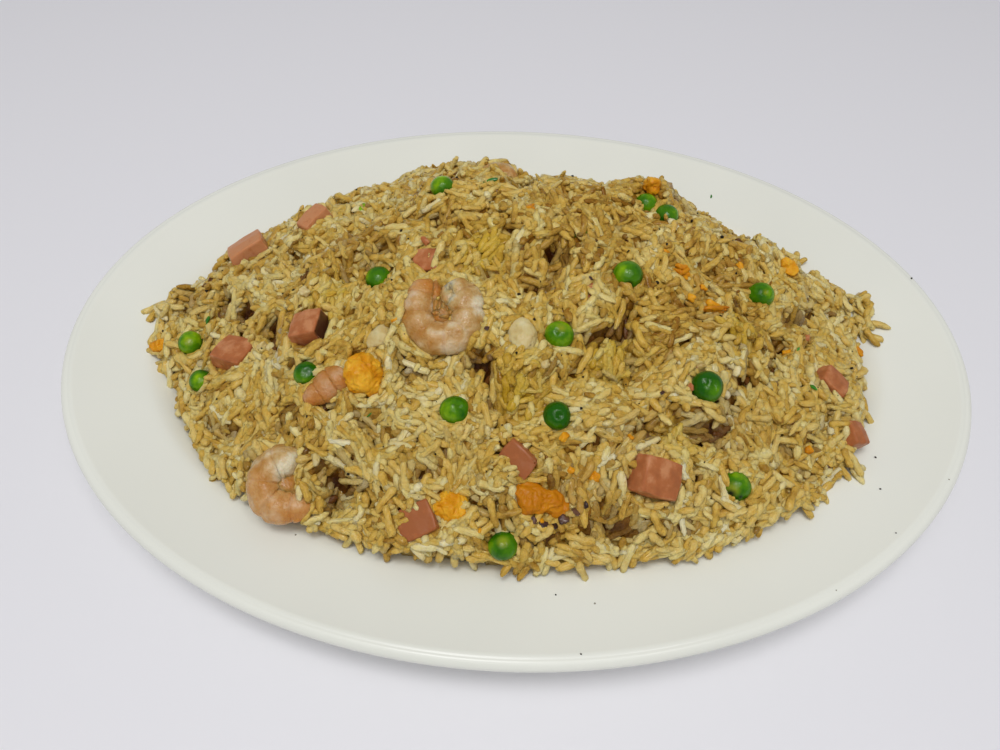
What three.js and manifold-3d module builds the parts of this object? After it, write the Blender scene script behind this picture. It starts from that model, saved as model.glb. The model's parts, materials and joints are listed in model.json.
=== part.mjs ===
// A large oval platter heaped with fried rice: long-grain rice with green peas, diced ham, curled shrimps,
// egg curds and two bits of egg white. Everything rests in the heap, so nothing moves.
// Millimetres, +Z up. The origin is on the table under the platter's centre, and +X runs along its length.
import * as THREE from "three";
import { mergeVertices } from "three/addons/utils/BufferGeometryUtils.js";
import Module from "manifold-3d";

const wasm = await Module();
wasm.setup();

// ---- Driving dimensions -------------------------------------------------------------------------------

const gap = 0.35; // clearance between the rice and whatever it touches

const platter = {
  halfLength: 152.5, // to the outermost point of the lip, along X
  halfWidth: 112.5, // the same, along Y
  height: 23.8, // table to the top of the lip
  lipRadius: 2.3, // the rolled edge is a bead
  shoulder: 123.5, // where the rim turns down into the well, along X
  shoulderHeight: 17.2,
  wellFloor: 104, // edge of the flat floor, along X
  floorHeight: 7,
  wall: 4, // thickness of the ware
  footOuter: 99,
  footWidth: 5,
  segments: 40,
};

// How far the points that bend the platter's curves stand from the corners they round: in or out, then down
// or up.
const bends = {
  lipInset: 0.6,
  shoulderTop: [3, 1.1],
  rimSag: [13, 3.6],
  wallFoot: [11, 0.3],
  wallHead: [5.5, 1.6],
  footSlope: 1.5,
  underWall: [9, 0.6],
  underShoulder: [4, 1],
  lipFrom: 1.8, // radians round the bead
  lipTo: -1.75,
};

const heap = {
  peakX: 4,
  peakY: 10,
  peakHeight: 60, // table to the top of the smooth heap, before its lumps
  halfLength: 120, // footprint, along X
  halfWidth: 85, // footprint, along Y
  edgeThickness: 2.6, // one or two grains deep at its edge
  powerAlong: 2.1, // how domed it is: 1 is a cone, 2 a dome, more has a flatter top
  powerAcross: 1.85,
  lumpSize: 17,
  lumpHeight: 4.2,
  lumpFade: 4, // lumps die out over this part of the way to the edge: 4 is its last quarter
  edgeWaver: 1.2,
  edgeWaves: 6,
  sectors: 52,
  rings: 10,
  baseHeight: 0.5, // under the well floor, so that the platter cuts it away
};

// Where the footprint runs out past its oval or falls short: direction from the peak in degrees, how far, how
// wide.
const tongues = [
  { at: 184, reach: 8, spread: 4 },
  { at: 5, reach: 9, spread: 4 },
  { at: 20, reach: -8, spread: 10 },
  { at: 90, reach: -2.5, spread: 11 },
  { at: 115, reach: 4.5, spread: 11 },
  { at: 150, reach: -1, spread: 12 },
  { at: 222, reach: 3.5, spread: 11 },
  { at: 257, reach: 2.5, spread: 16 },
  { at: 295, reach: 4, spread: 11 },
  { at: 318, reach: 5, spread: 11 },
  { at: 340, reach: 2, spread: 11 },
];

// Places where the heap stands above or below its dome.
const mounds = [
  { x: -78, y: 28, rise: -2.5, spread: 9 },
  { x: -32, y: 42, rise: 2, spread: 9 },
  { x: 45, y: 45, rise: 6, spread: 9 },
  { x: 72, y: 36, rise: 5.5, spread: 9 },
  { x: 97, y: 26, rise: -3, spread: 8 },
];

// Each topping is placed by x and y. Its middle is lift above the smooth heap there, it leans with the slope,
// and turn is its heading about the slope's normal, in degrees. A tip leans it further, about its own X axis.
const peas = [
  { x: -108.5, y: -12, lift: 0.6, size: 8, turn: 20 },
  { x: -101.5, y: -26.5, lift: 0.2, size: 7.6, turn: 200 },
  { x: -62.5, y: -35.5, lift: 1, size: 8, turn: 140 },
  { x: -55.5, y: 38, lift: -0.4, size: 7.8, turn: 60 },
  { x: -44, y: -4.5, lift: 0, size: 8.4, turn: 300 },
  { x: -26.5, y: 33, lift: 0.4, size: 8, turn: 90 },
  { x: 32, y: -7, lift: 1.2, size: 9.2, turn: 268 },
  { x: 11.5, y: -26, lift: 1, size: 9, turn: 40 },
  { x: -18, y: -47, lift: 1, size: 8.8, turn: 250 },
  { x: 11, y: -48.5, lift: 0.4, size: 8.4, turn: 10 },
  { x: 7.5, y: -53, lift: -3.6, size: 8, turn: 80 },
  { x: -3.5, y: -80.5, lift: 0.2, size: 8.4, turn: 150 },
  { x: 48.5, y: 27, lift: 1.2, size: 8, turn: 330 },
  { x: 42, y: 32, lift: -1.8, size: 7.6, turn: 100 },
  { x: 78, y: 1, lift: 1.2, size: 8.8, turn: 280 },
  { x: 54, y: -39.5, lift: 1, size: 9.6, turn: 0 },
  { x: 63, y: -62, lift: 1.2, size: 9.2, turn: 225 },
  { x: 18, y: 10, lift: -2.4, size: 7.8, turn: 30 },
  { x: -85.5, y: -31.5, lift: -2.4, size: 8, turn: 170 },
];

const hamDice = [
  { x: -94, y: 21.5, lift: 1, size: [13.5, 9.5, 9], turn: 30, tip: 8 },
  { x: -71, y: 30, lift: 0.8, size: [11, 7, 8.5], turn: 50, tip: 6 },
  { x: -90, y: -20.5, lift: 0.2, size: [12.5, 10.5, 9.5], turn: -35, tip: -8 },
  { x: -63, y: -21.5, lift: 0.2, size: [10.5, 9.5, 11], turn: 12, tip: 14 },
  { x: 0.5, y: -59, lift: -0.2, size: [10.5, 9, 9], turn: -38, tip: 4 },
  { x: 38, y: -63, lift: 0.2, size: [12.5, 11, 9], turn: -8, tip: -4 },
  { x: -27.5, y: -74.5, lift: -0.4, size: [11.5, 9.5, 8.5], turn: 28, tip: -5 },
  { x: 99.5, y: -22.5, lift: -0.6, size: [9.5, 7.5, 8], turn: -30, tip: 5 },
  { x: 105, y: -38.5, lift: -0.6, size: [6.5, 8, 8], turn: 10, tip: -10 },
  { x: 20.5, y: -14, lift: -3.2, size: [9.5, 8.5, 8.5], turn: 15, tip: 0 },
  { x: -28.5, y: 0, lift: -2.4, size: [9.5, 8, 8], turn: -12, tip: 4 },
  { x: 46.5, y: -33, lift: -4.4, size: [9, 8.5, 8], turn: 40, tip: 0 },
];

// A shrimp's back runs along an arc of radius bend, from heading turn through arc degrees (clockwise is
// negative), and thins from the head end to tail times thick.
const shrimps = [
  { x: -23, y: -20.5, lift: 1.6, bend: 7.9, thick: 9.8, arc: -312, turn: 78, tail: 0.66, tip: 4 },
  { x: -67, y: -65, lift: 1.6, bend: 6.9, thick: 9.8, arc: 282, turn: 60, tail: 0.5, tip: 0 },
  { x: -50.5, y: -46.5, lift: -1.2, bend: 9, thick: 8.2, arc: 70, turn: 92, tail: 0.7, tip: 0 },
  { x: -9.5, y: 46, lift: -4, bend: 5, thick: 8, arc: 230, turn: -20, tail: 0.6, tip: 62 },
];

const eggCurds = [
  { x: -45, y: -38, lift: 1.8, size: [12, 12, 9], turn: 0, waist: 0.05 },
  { x: 7, y: -70, lift: 1.2, size: [16, 9.5, 7.5], turn: -8, waist: 0.35 },
  { x: -18.5, y: -71.5, lift: 1.2, size: [8.6, 9.4, 7], turn: 70, waist: 0 },
  { x: 23.5, y: -62.5, lift: 0.4, size: [11.5, 4.4, 4], turn: -4, waist: 0.1 },
  { x: 49, y: -1.5, lift: 0.6, size: [9.5, 5.4, 4.6], turn: -62, waist: 0.3 },
  { x: 59, y: -12, lift: 0.2, size: [10.5, 5.6, 4.4], turn: 14, waist: 0.1 },
  { x: 44, y: 38, lift: 1.4, size: [5.4, 5, 5], turn: 80, waist: 0 },
  { x: -120.5, y: -10, lift: 0.6, size: [7.4, 4, 2.8], turn: -10, waist: 0 },
  { x: 90.5, y: 15, lift: 0.4, size: [7.2, 5.2, 4], turn: -40, waist: 0.2 },
];

const eggWhites = [
  { x: 1, y: -27.5, lift: 0.8, size: [7.8, 11.5, 5.4], turn: 12, waist: 0 },
  { x: -42, y: -27, lift: 0.4, size: [8.4, 7.4, 4.8], turn: 30, waist: 0.1 },
];

// ---- Materials ----------------------------------------------------------------------------------------

function finish(color, roughness) {
  return new THREE.MeshStandardMaterial({ color, roughness, metalness: 0 });
}

const glazedWhite = finish(0xf0efe8, 0.15);
const friedRice = finish(0xc4a870, 0.45);
const greenPea = finish(0x3f8f1e, 0.25);
const pinkHam = finish(0xc27a6c, 0.4);
const cookedShrimp = finish(0xe3b79c, 0.3);
const yellowCurd = finish(0xe6a23c, 0.5);
const whiteCurd = finish(0xe9e2cc, 0.45);

// ---- Small helpers ------------------------------------------------------------------------------------

const degrees = Math.PI / 180;

function clamp01(value) {
  return Math.min(1, Math.max(0, value));
}

function smooth(value) {
  const t = clamp01(value);
  return t * t * (3 - 2 * t);
}

// A repeatable number from -1 to 1 for each corner of a square lattice.
function latticeValue(i, j) {
  const wave = Math.sin(i * 127.1 + j * 311.7) * 43758.5453;
  return 2 * (wave - Math.floor(wave)) - 1;
}

// Smooth lumps about one unit across, from -1 to 1.
function lumps(u, v) {
  const i = Math.floor(u);
  const j = Math.floor(v);
  const a = smooth(u - i);
  const b = smooth(v - j);
  const near = latticeValue(i, j) * (1 - a) + latticeValue(i + 1, j) * a;
  const far = latticeValue(i, j + 1) * (1 - a) + latticeValue(i + 1, j + 1) * a;
  return near * (1 - b) + far * b;
}

// The closed geometry as a solid for cutting, with its shared vertices merged.
function solidOf(geometry) {
  const bare = new THREE.BufferGeometry();
  bare.setAttribute("position", geometry.getAttribute("position"));
  bare.setIndex(geometry.index);
  const merged = mergeVertices(bare, 1e-3);
  return new wasm.Manifold(
    new wasm.Mesh({
      numProp: 3,
      vertProperties: new Float32Array(merged.attributes.position.array),
      triVerts: new Uint32Array(merged.index.array),
    }),
  );
}

function geometryOf(solid) {
  const mesh = solid.getMesh();
  const positions = new Float32Array(mesh.numVert * 3);
  for (let i = 0; i < mesh.numVert; i++) {
    positions.set(mesh.vertProperties.subarray(i * mesh.numProp, i * mesh.numProp + 3), i * 3);
  }
  const geometry = new THREE.BufferGeometry();
  geometry.setAttribute("position", new THREE.BufferAttribute(positions, 3));
  geometry.setIndex(new THREE.BufferAttribute(mesh.triVerts, 1));
  geometry.computeVertexNormals();
  return geometry;
}

// Moves every vertex of a geometry to where move(x, y, z) sends it.
function reshape(geometry, move) {
  const position = geometry.getAttribute("position");
  for (let i = 0; i < position.count; i++) {
    const [x, y, z] = move(position.getX(i), position.getY(i), position.getZ(i));
    position.setXYZ(i, x, y, z);
  }
  geometry.computeVertexNormals();
  return geometry;
}

// ---- Platter ------------------------------------------------------------------------------------------

// The oval is a round dish drawn in: every ring keeps its distance from the lip, so the rim is as wide at
// the sides as at the ends. Inside innerRing the floor is flat, and the rings shrink evenly to the middle.
const drawnIn = platter.halfLength - platter.halfWidth;
const innerRing = 2 * drawnIn;

function ringHalfWidth(halfLength) {
  return halfLength > innerRing ? halfLength - drawnIn : halfLength / 2;
}

// Upper surface from the middle of the floor out to the lip, as radius along X against height.
const lipCentre = {
  r: platter.halfLength - platter.lipRadius,
  z: platter.height - platter.lipRadius,
};
const rimTop = new THREE.Vector2(lipCentre.r - bends.lipInset, platter.height);
const shoulderTop = new THREE.Vector2(
  platter.shoulder + bends.shoulderTop[0],
  platter.shoulderHeight + bends.shoulderTop[1],
);
const floorEdge = new THREE.Vector2(platter.wellFloor, platter.floorHeight);
const rimCurve = new THREE.QuadraticBezierCurve(
  shoulderTop,
  new THREE.Vector2(platter.halfLength - bends.rimSag[0], platter.height - bends.rimSag[1]),
  rimTop,
);
const wallCurve = new THREE.CubicBezierCurve(
  floorEdge,
  new THREE.Vector2(platter.wellFloor + bends.wallFoot[0], platter.floorHeight + bends.wallFoot[1]),
  new THREE.Vector2(platter.shoulder - bends.wallHead[0], platter.shoulderHeight - bends.wallHead[1]),
  shoulderTop,
);

const topProfile = [
  ...wallCurve.getPoints(5),
  ...rimCurve.getPoints(3).slice(1),
];

// Height of the upper surface where the ring's half length is r.
function topHeightAtRing(r) {
  if (r <= topProfile[0].x) {
    return platter.floorHeight;
  }
  for (let i = 1; i < topProfile.length; i++) {
    const [inner, outer] = [topProfile[i - 1], topProfile[i]];
    if (r <= outer.x) {
      return inner.y + ((outer.y - inner.y) * (r - inner.x)) / (outer.x - inner.x);
    }
  }
  return platter.height;
}

// Half length of the ring that passes through (x, y), by halving.
function ringThrough(x, y) {
  let low = innerRing / 2;
  let high = platter.halfLength + innerRing / 4;
  const halvings = 24;
  for (let i = 0; i < halvings; i++) {
    const r = (low + high) / 2;
    const outside = (x / r) ** 2 + (y / ringHalfWidth(r)) ** 2 > 1;
    [low, high] = outside ? [r, high] : [low, r];
  }
  return low;
}

function platterTop(x, y) {
  return topHeightAtRing(ringThrough(x, y));
}

const lip = new THREE.Path().absarc(
  lipCentre.r,
  lipCentre.z,
  platter.lipRadius,
  bends.lipFrom,
  bends.lipTo,
  true,
);

// Spins a profile, from its lowest point on the axis to its highest, and draws each ring in to its oval.
function ovalLathe(profile) {
  const round = new THREE.LatheGeometry(profile, platter.segments);
  return reshape(round, (x, height, z) => {
    const r = Math.hypot(x, z);
    return r < 1e-6 ? [0, 0, height] : [x, (-z / r) * ringHalfWidth(r), height];
  });
}

function platterGeometry() {
  const under = platter.floorHeight - platter.wall;
  const footInner = platter.footOuter - platter.footWidth;
  const upper = [
    new THREE.Vector2(0, platter.floorHeight),
    new THREE.Vector2(innerRing, platter.floorHeight),
    ...topProfile,
    ...lip.getPoints(4),
  ];
  const lower = [
    new THREE.Vector2(0, under),
    new THREE.Vector2(innerRing, under),
    new THREE.Vector2(footInner - bends.footSlope, under),
    new THREE.Vector2(footInner, 0),
    new THREE.Vector2(platter.footOuter, 0),
    new THREE.Vector2(platter.footOuter + bends.footSlope, under),
    new THREE.Vector2(platter.shoulder - bends.underWall[0], platter.floorHeight - bends.underWall[1]),
    new THREE.Vector2(
      platter.shoulder + bends.underShoulder[0],
      platter.shoulderHeight - platter.wall + bends.underShoulder[1],
    ),
  ];
  return ovalLathe([...lower, ...upper.reverse()]);
}

// Everything below the platter's upper surface and the clearance over it: what the rice is cut by.
function underThePlatterTop() {
  const upper = [
    new THREE.Vector2(0, platter.floorHeight),
    new THREE.Vector2(innerRing, platter.floorHeight),
    ...topProfile,
  ];
  const raised = upper.map((point) => new THREE.Vector2(point.x, point.y + gap));
  const lower = [
    new THREE.Vector2(0, -1),
    new THREE.Vector2(rimTop.x, -1),
  ];
  return solidOf(ovalLathe([...lower, ...raised.reverse()]));
}

// ---- Heap of rice -------------------------------------------------------------------------------------

const peak = new THREE.Vector2(heap.peakX, heap.peakY);

// Distance from the peak to the edge of the footprint, in direction angle (radians).
function footReach(angle) {
  const dx = Math.cos(angle) / heap.halfLength;
  const dy = Math.sin(angle) / heap.halfWidth;
  const px = peak.x / heap.halfLength;
  const py = peak.y / heap.halfWidth;
  const a = dx * dx + dy * dy;
  const b = px * dx + py * dy;
  const c = px * px + py * py - 1;
  let reach = (-b + Math.sqrt(b * b - a * c)) / a;
  for (const tongue of tongues) {
    const away = Math.atan2(Math.sin(angle - tongue.at * degrees), Math.cos(angle - tongue.at * degrees));
    reach += tongue.reach * Math.exp(-((away / (tongue.spread * degrees)) ** 2) / 2);
  }
  return reach + heap.edgeWaver * lumps(angle * heap.edgeWaves, 7.5);
}

// Upper surface of the rice: from the peak down to a thin edge that lies on the platter, with lumps.
function heapTop(x, y) {
  const fromPeak = Math.hypot(x - peak.x, y - peak.y);
  const angle = Math.atan2(y - peak.y, x - peak.x);
  const reach = footReach(angle);
  const share = Math.min(1, fromPeak / reach);
  const edgeX = peak.x + reach * Math.cos(angle);
  const edgeY = peak.y + reach * Math.sin(angle);
  const edge = platterTop(edgeX, edgeY) + heap.edgeThickness;
  const power = heap.powerAcross + (heap.powerAlong - heap.powerAcross) * Math.cos(angle) ** 2;
  const smoothHeap = edge + (heap.peakHeight - edge) * (1 - share ** power);
  const relief =
    lumps(x / heap.lumpSize + 3, y / heap.lumpSize) +
    0.5 * lumps((2 * x) / heap.lumpSize + 9, (2 * y) / heap.lumpSize);
  let rise = heap.lumpHeight * relief;
  for (const mound of mounds) {
    const away = Math.hypot(x - mound.x, y - mound.y) / mound.spread;
    rise += mound.rise * Math.exp(-(away ** 2) / 2);
  }
  return smoothHeap + rise * smooth((1 - share) * heap.lumpFade);
}

// The heap before it is cut: rings from the peak out to the footprint's edge, straight down from there, and
// a level base inside the platter's thickness.
function heapBlank() {
  const positions = [peak.x, peak.y, heapTop(peak.x, peak.y)];
  const index = [];
  const addRing = (share, height) => {
    for (let s = 0; s < heap.sectors; s++) {
      const angle = (s / heap.sectors) * 2 * Math.PI;
      const reach = footReach(angle) * share;
      const x = peak.x + reach * Math.cos(angle);
      const y = peak.y + reach * Math.sin(angle);
      positions.push(x, y, height(x, y));
    }
  };
  for (let ring = 1; ring <= heap.rings; ring++) {
    addRing(ring / heap.rings, heapTop);
  }
  addRing(1, () => heap.baseHeight);
  positions.push(peak.x, peak.y, heap.baseHeight);
  const ringCount = heap.rings + 1;
  const lastPoint = ringCount * heap.sectors + 1;
  for (let s = 0; s < heap.sectors; s++) {
    const next = (s + 1) % heap.sectors;
    index.push(0, 1 + s, 1 + next);
    for (let ring = 0; ring < ringCount - 1; ring++) {
      const inner = 1 + ring * heap.sectors;
      const outer = inner + heap.sectors;
      index.push(inner + s, outer + s, outer + next);
      index.push(inner + s, outer + next, inner + next);
    }
    const lastRing = 1 + (ringCount - 1) * heap.sectors;
    index.push(lastRing + s, lastPoint, lastRing + next);
  }
  const geometry = new THREE.BufferGeometry();
  geometry.setAttribute("position", new THREE.BufferAttribute(new Float32Array(positions), 3));
  geometry.setIndex(index);
  return geometry;
}

// What the cutters leave of the heap.
function riceGeometry(cutters) {
  const whole = solidOf(heapBlank()).subtract(underThePlatterTop());
  const pocketed = cutters.reduce((rice, cutter) => rice.subtract(cutter), whole);
  return geometryOf(pocketed.simplify(gap / 3));
}

// ---- Toppings -----------------------------------------------------------------------------------------

// A cooked pea, a little flattened, with a dimple where it hung in the pod.
function peaGeometry({ size }) {
  const radius = size / 2;
  const dimpleShare = 0.14;
  const dimpleAngle = 0.5;
  const flat = 0.94;
  return reshape(new THREE.SphereGeometry(radius, 9, 6), (x, y, z) => {
    const away = Math.acos(clamp01(x / radius)) / dimpleAngle;
    const keep = 1 - dimpleShare * Math.exp(-away * away);
    return [x * keep, y * keep, z * keep * flat];
  });
}

// A die of ham: flat faces, edges and corners cooked round, two sides leaning.
const hamLean = 0.12;

function hamGeometry({ size }) {
  const [length, width, depth] = size.map((side) => side / 2);
  const drawnInAt = [0, 0, 0.04, 0.1];
  return reshape(new THREE.BoxGeometry(2, 2, 2, 2, 2, 2), (x, y, z) => {
    const keep = 1 - drawnInAt[Math.abs(x) + Math.abs(y) + Math.abs(z)];
    return [(x + hamLean * z) * length * keep, y * width * keep, z * depth * keep];
  });
}

const shrimpBody = {
  segments: 5,
  swell: 0.07, // of each segment, as a share of the thickness
  curlIn: 0.1, // how much tighter the curl is at the tail
  taper: 1.4, // 1 thins evenly towards the tail, more keeps the head end full
  bluntEnds: 5,
  flat: 0.92, // height against width
};

// A peeled, curled shrimp: a tube that swells at each body segment and is round at both ends.
function shrimpGeometry({ bend, thick, arc, tail }, stations = 11, sides = 8, clearance = 0) {
  const positions = [];
  const index = [];
  const backAt = (t) => {
    const angle = t * arc * degrees;
    const radius = bend * (1 - shrimpBody.curlIn * t);
    return { angle, radius };
  };
  const addPoint = ({ angle, radius }, outward, upward) => {
    positions.push(
      (radius + outward) * Math.cos(angle),
      (radius + outward) * Math.sin(angle),
      upward,
    );
  };
  const endRoom = clearance / (bend * Math.abs(arc) * degrees);
  addPoint(backAt(-endRoom), 0, 0);
  for (let i = 0; i < stations; i++) {
    const t = (i + 0.5) / stations;
    const roundEnd = Math.sqrt(1 - Math.abs(2 * t - 1) ** shrimpBody.bluntEnds);
    const swell = 1 + shrimpBody.swell * Math.abs(Math.sin(shrimpBody.segments * Math.PI * t));
    const thinning = 1 - (1 - tail) * t ** shrimpBody.taper;
    const half = (thick / 2) * thinning * roundEnd * swell + clearance;
    for (let k = 0; k < sides; k++) {
      const around = (k / sides) * 2 * Math.PI;
      addPoint(backAt(t), half * Math.cos(around), shrimpBody.flat * half * Math.sin(around));
    }
  }
  addPoint(backAt(1 + endRoom), 0, 0);
  const lastPoint = stations * sides + 1;
  const face = (a, b, c) => index.push(...(arc > 0 ? [a, b, c] : [a, c, b]));
  for (let k = 0; k < sides; k++) {
    const next = (k + 1) % sides;
    face(0, 1 + k, 1 + next);
    for (let i = 0; i < stations - 1; i++) {
      const ring = 1 + i * sides;
      face(ring + k, ring + sides + k, ring + sides + next);
      face(ring + k, ring + sides + next, ring + next);
    }
    face(lastPoint - sides + k, lastPoint, lastPoint - sides + next);
  }
  const geometry = new THREE.BufferGeometry();
  geometry.setAttribute("position", new THREE.BufferAttribute(new Float32Array(positions), 3));
  geometry.setIndex(index);
  geometry.computeVertexNormals();
  return geometry;
}

// A curd of egg: an uneven lump, drawn in at its waist where it has two lobes.
function curdGeometry({ size, waist, x: seed }) {
  const [length, width, depth] = size.map((side) => side / 2);
  const bumpy = 0.2;
  const waistHalf = 1 / 1.8; // how far the waist reaches along the curd, as a share of its half length
  return reshape(new THREE.IcosahedronGeometry(1, 1), (x, y, z) => {
    const bump = 1 + bumpy * lumps(2.2 * x + seed, 2.2 * y + 1.7 * z);
    const narrow = 1 - waist * (1 - Math.min(1, Math.abs(x) / waistHalf));
    return [x * length * bump, y * width * bump * narrow, z * depth * bump * narrow];
  });
}

// ---- Pockets in the rice ------------------------------------------------------------------------------

// Rice doesn't lie tight round a topping, so each pocket is a plainer form that stands clear of it.

// Around a pea or a curd: twenty faces, of which each just clears the round form inside.
function roundPocket({ size }) {
  const sides = Array.isArray(size) ? size : [size, size, size];
  const inscribed = 0.7947;
  const bumps = Array.isArray(size) ? 1.06 : 1;
  const reach = sides.map((side) => ((side / 2) * bumps + gap) / inscribed);
  return new THREE.IcosahedronGeometry(1, 0).scale(...reach);
}

function hamPocket({ size }) {
  const [length, width, depth] = size.map((side) => side + 2 * gap);
  return new THREE.BoxGeometry(length * (1 + hamLean), width, depth);
}

// A tube of six sides has to be wider than the round one inside it.
function shrimpPocket(shrimp) {
  return shrimpGeometry(shrimp, 10, 6, 3.5 * gap);
}

// ---- Assembly -----------------------------------------------------------------------------------------

function named(name, geometry, material) {
  const mesh = new THREE.Mesh(geometry, material);
  mesh.name = name;
  return mesh;
}

// Sets a topping down on the heap: raised by its lift, and leaning with the slope under it.
function settle(mesh, { x, y, lift, turn, tip = 0 }) {
  const reach = 6;
  const slopeX = (heapTop(x + reach, y) - heapTop(x - reach, y)) / (2 * reach);
  const slopeY = (heapTop(x, y + reach) - heapTop(x, y - reach)) / (2 * reach);
  const normal = new THREE.Vector3(-slopeX, -slopeY, 1).normalize();
  const lean = new THREE.Quaternion().setFromUnitVectors(new THREE.Vector3(0, 0, 1), normal);
  const angles = new THREE.Euler(tip * degrees, 0, turn * degrees, "ZXY");
  const heading = new THREE.Quaternion().setFromEuler(angles);
  mesh.position.set(x, y, heapTop(x, y) + lift);
  mesh.quaternion.multiplyQuaternions(lean, heading);
  mesh.updateMatrix();
}

// The kinds of topping, and the form and material of each.
const kinds = [
  { name: "pea", items: peas, form: peaGeometry, pocket: roundPocket, material: greenPea },
  { name: "ham", items: hamDice, form: hamGeometry, pocket: hamPocket, material: pinkHam },
  { name: "shrimp", items: shrimps, form: shrimpGeometry, pocket: shrimpPocket, material: cookedShrimp },
  { name: "egg", items: eggCurds, form: curdGeometry, pocket: roundPocket, material: yellowCurd },
  { name: "egg_white", items: eggWhites, form: curdGeometry, pocket: roundPocket, material: whiteCurd },
];

const dish = new THREE.Group();
const toppings = new THREE.Group();
const cutters = [];
for (const { name, items, form, pocket, material } of kinds) {
  items.forEach((item, i) => {
    const topping = named(`${name}_${i + 1}`, form(item), material);
    settle(topping, item);
    toppings.add(topping);
    cutters.push(solidOf(pocket(item).applyMatrix4(topping.matrix)));
  });
}
dish.add(named("plate", platterGeometry(), glazedWhite));
dish.add(named("rice", riceGeometry(cutters), friedRice));
dish.add(toppings);

export default dish;
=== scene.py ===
import json
import math
import time

import bmesh
import bpy
import numpy as np
from mathutils import Matrix, Vector

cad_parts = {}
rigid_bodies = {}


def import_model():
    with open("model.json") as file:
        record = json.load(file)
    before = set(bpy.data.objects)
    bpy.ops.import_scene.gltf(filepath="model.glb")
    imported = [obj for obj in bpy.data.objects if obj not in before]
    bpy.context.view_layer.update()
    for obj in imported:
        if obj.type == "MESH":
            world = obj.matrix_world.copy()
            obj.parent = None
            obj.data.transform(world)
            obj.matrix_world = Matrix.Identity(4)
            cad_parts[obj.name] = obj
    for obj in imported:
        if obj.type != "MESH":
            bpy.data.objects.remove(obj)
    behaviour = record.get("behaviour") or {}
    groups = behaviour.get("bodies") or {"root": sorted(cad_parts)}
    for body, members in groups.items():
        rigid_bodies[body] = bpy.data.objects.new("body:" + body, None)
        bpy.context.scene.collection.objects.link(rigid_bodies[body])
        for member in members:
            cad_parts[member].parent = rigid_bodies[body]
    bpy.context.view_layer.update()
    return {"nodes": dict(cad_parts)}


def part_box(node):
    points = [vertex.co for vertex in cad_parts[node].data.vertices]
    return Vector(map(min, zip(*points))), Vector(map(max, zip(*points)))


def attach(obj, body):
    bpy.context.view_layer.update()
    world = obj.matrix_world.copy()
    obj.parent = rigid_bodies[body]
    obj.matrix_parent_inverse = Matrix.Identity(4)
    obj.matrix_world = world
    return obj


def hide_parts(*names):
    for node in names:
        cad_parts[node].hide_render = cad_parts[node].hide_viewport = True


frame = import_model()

mm = 0.001
started = time.time()
scene = bpy.context.scene


def report(*words):
    # one line for each stage, with the seconds since the start
    print(f"{time.time() - started:.0f} s:", *words)


def linearColor(hexCode):
    # sRGB hex to the linear colour that shader sockets take
    channels = [int(hexCode[i:i + 2], 16) / 255 for i in (1, 3, 5)]
    return [c / 12.92 if c <= 0.04045 else ((c + 0.055) / 1.055) ** 2.4 for c in channels] + [1.0]


def addNode(tree, kind, links=None, stops=None, **settings):
    # links gives each input, by name or number, a socket to follow or a plain value. A colour ramp starts
    # with two stops, so the first two of stops are its ends
    made = tree.nodes.new(kind)
    for name, value in settings.items():
        setattr(made, name, value)
    for key, value in (links or {}).items():
        if isinstance(value, bpy.types.NodeSocket):
            tree.links.new(value, made.inputs[key])
        else:
            made.inputs[key].default_value = value
    for i, (place, colour) in enumerate(stops or []):
        ramp = made.color_ramp.elements
        stop = ramp[i] if i < 2 else ramp.new(place)
        stop.position = place
        stop.color = linearColor(colour)
    return made


def newMaterial(name, finish):
    # finish gives the surface's plain values by the names of their sockets
    material = bpy.data.materials.new(name)
    material.use_nodes = True
    tree = material.node_tree
    tree.nodes.clear()
    surface = addNode(tree, "ShaderNodeBsdfPrincipled", finish)
    addNode(tree, "ShaderNodeOutputMaterial", {"Surface": surface.outputs[0]})
    place = addNode(tree, "ShaderNodeTexCoord").outputs["Object"]
    return material, tree, surface, place


def newPiece(name, vertices, faces, material=None, smooth=True):
    mesh = bpy.data.meshes.new(name)
    mesh.from_pydata(vertices, [], faces)
    mesh.validate()
    piece = bpy.data.objects.new(name, mesh)
    scene.collection.objects.link(piece)
    if smooth:
        mesh.polygons.foreach_set("use_smooth", [True] * len(mesh.polygons))
    if material:
        mesh.materials.append(material)
    return piece


def vertexArray(mesh):
    places = np.empty(len(mesh.vertices) * 3)
    mesh.vertices.foreach_get("co", places)
    return places.reshape(-1, 3)


def movePoints(piece, places):
    piece.data.vertices.foreach_set("co", places.ravel())
    piece.data.update()


def faceArray(mesh):
    mesh.calc_loop_triangles()
    corners = np.empty(len(mesh.loop_triangles) * 3, dtype=np.int32)
    mesh.loop_triangles.foreach_get("vertices", corners)
    return corners.reshape(-1, 3)


def addAttribute(mesh, name, values, kind="FLOAT"):
    attribute = mesh.attributes.new(name, kind, "POINT")
    field = "vector" if kind == "FLOAT_VECTOR" else "value"
    attribute.data.foreach_set(field, np.asarray(values).ravel())


def bakeModifiers(piece):
    # turns what the modifiers make into a plain mesh, and drops them
    bpy.context.view_layer.update()
    depsgraph = bpy.context.evaluated_depsgraph_get()
    made = bpy.data.meshes.new_from_object(piece.evaluated_get(depsgraph), depsgraph=depsgraph)
    piece.modifiers.clear()
    piece.data = made


def faceOutward(mesh, joined=None):
    # turns every face outward, after joining the vertices that lie closer than joined
    shell = bmesh.new()
    shell.from_mesh(mesh)
    if joined:
        bmesh.ops.remove_doubles(shell, verts=shell.verts, dist=joined)
    bmesh.ops.recalc_face_normals(shell, faces=shell.faces)
    shell.to_mesh(mesh)
    shell.free()


def mergedCopy(node, name):
    # the CAD node's mesh as a new object, its loose triangles joined
    piece = bpy.data.objects.new(name, frame["nodes"][node].data.copy())
    scene.collection.objects.link(piece)
    faceOutward(piece.data, joined=0.01 * mm)
    piece.data.materials.clear()
    return piece


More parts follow.
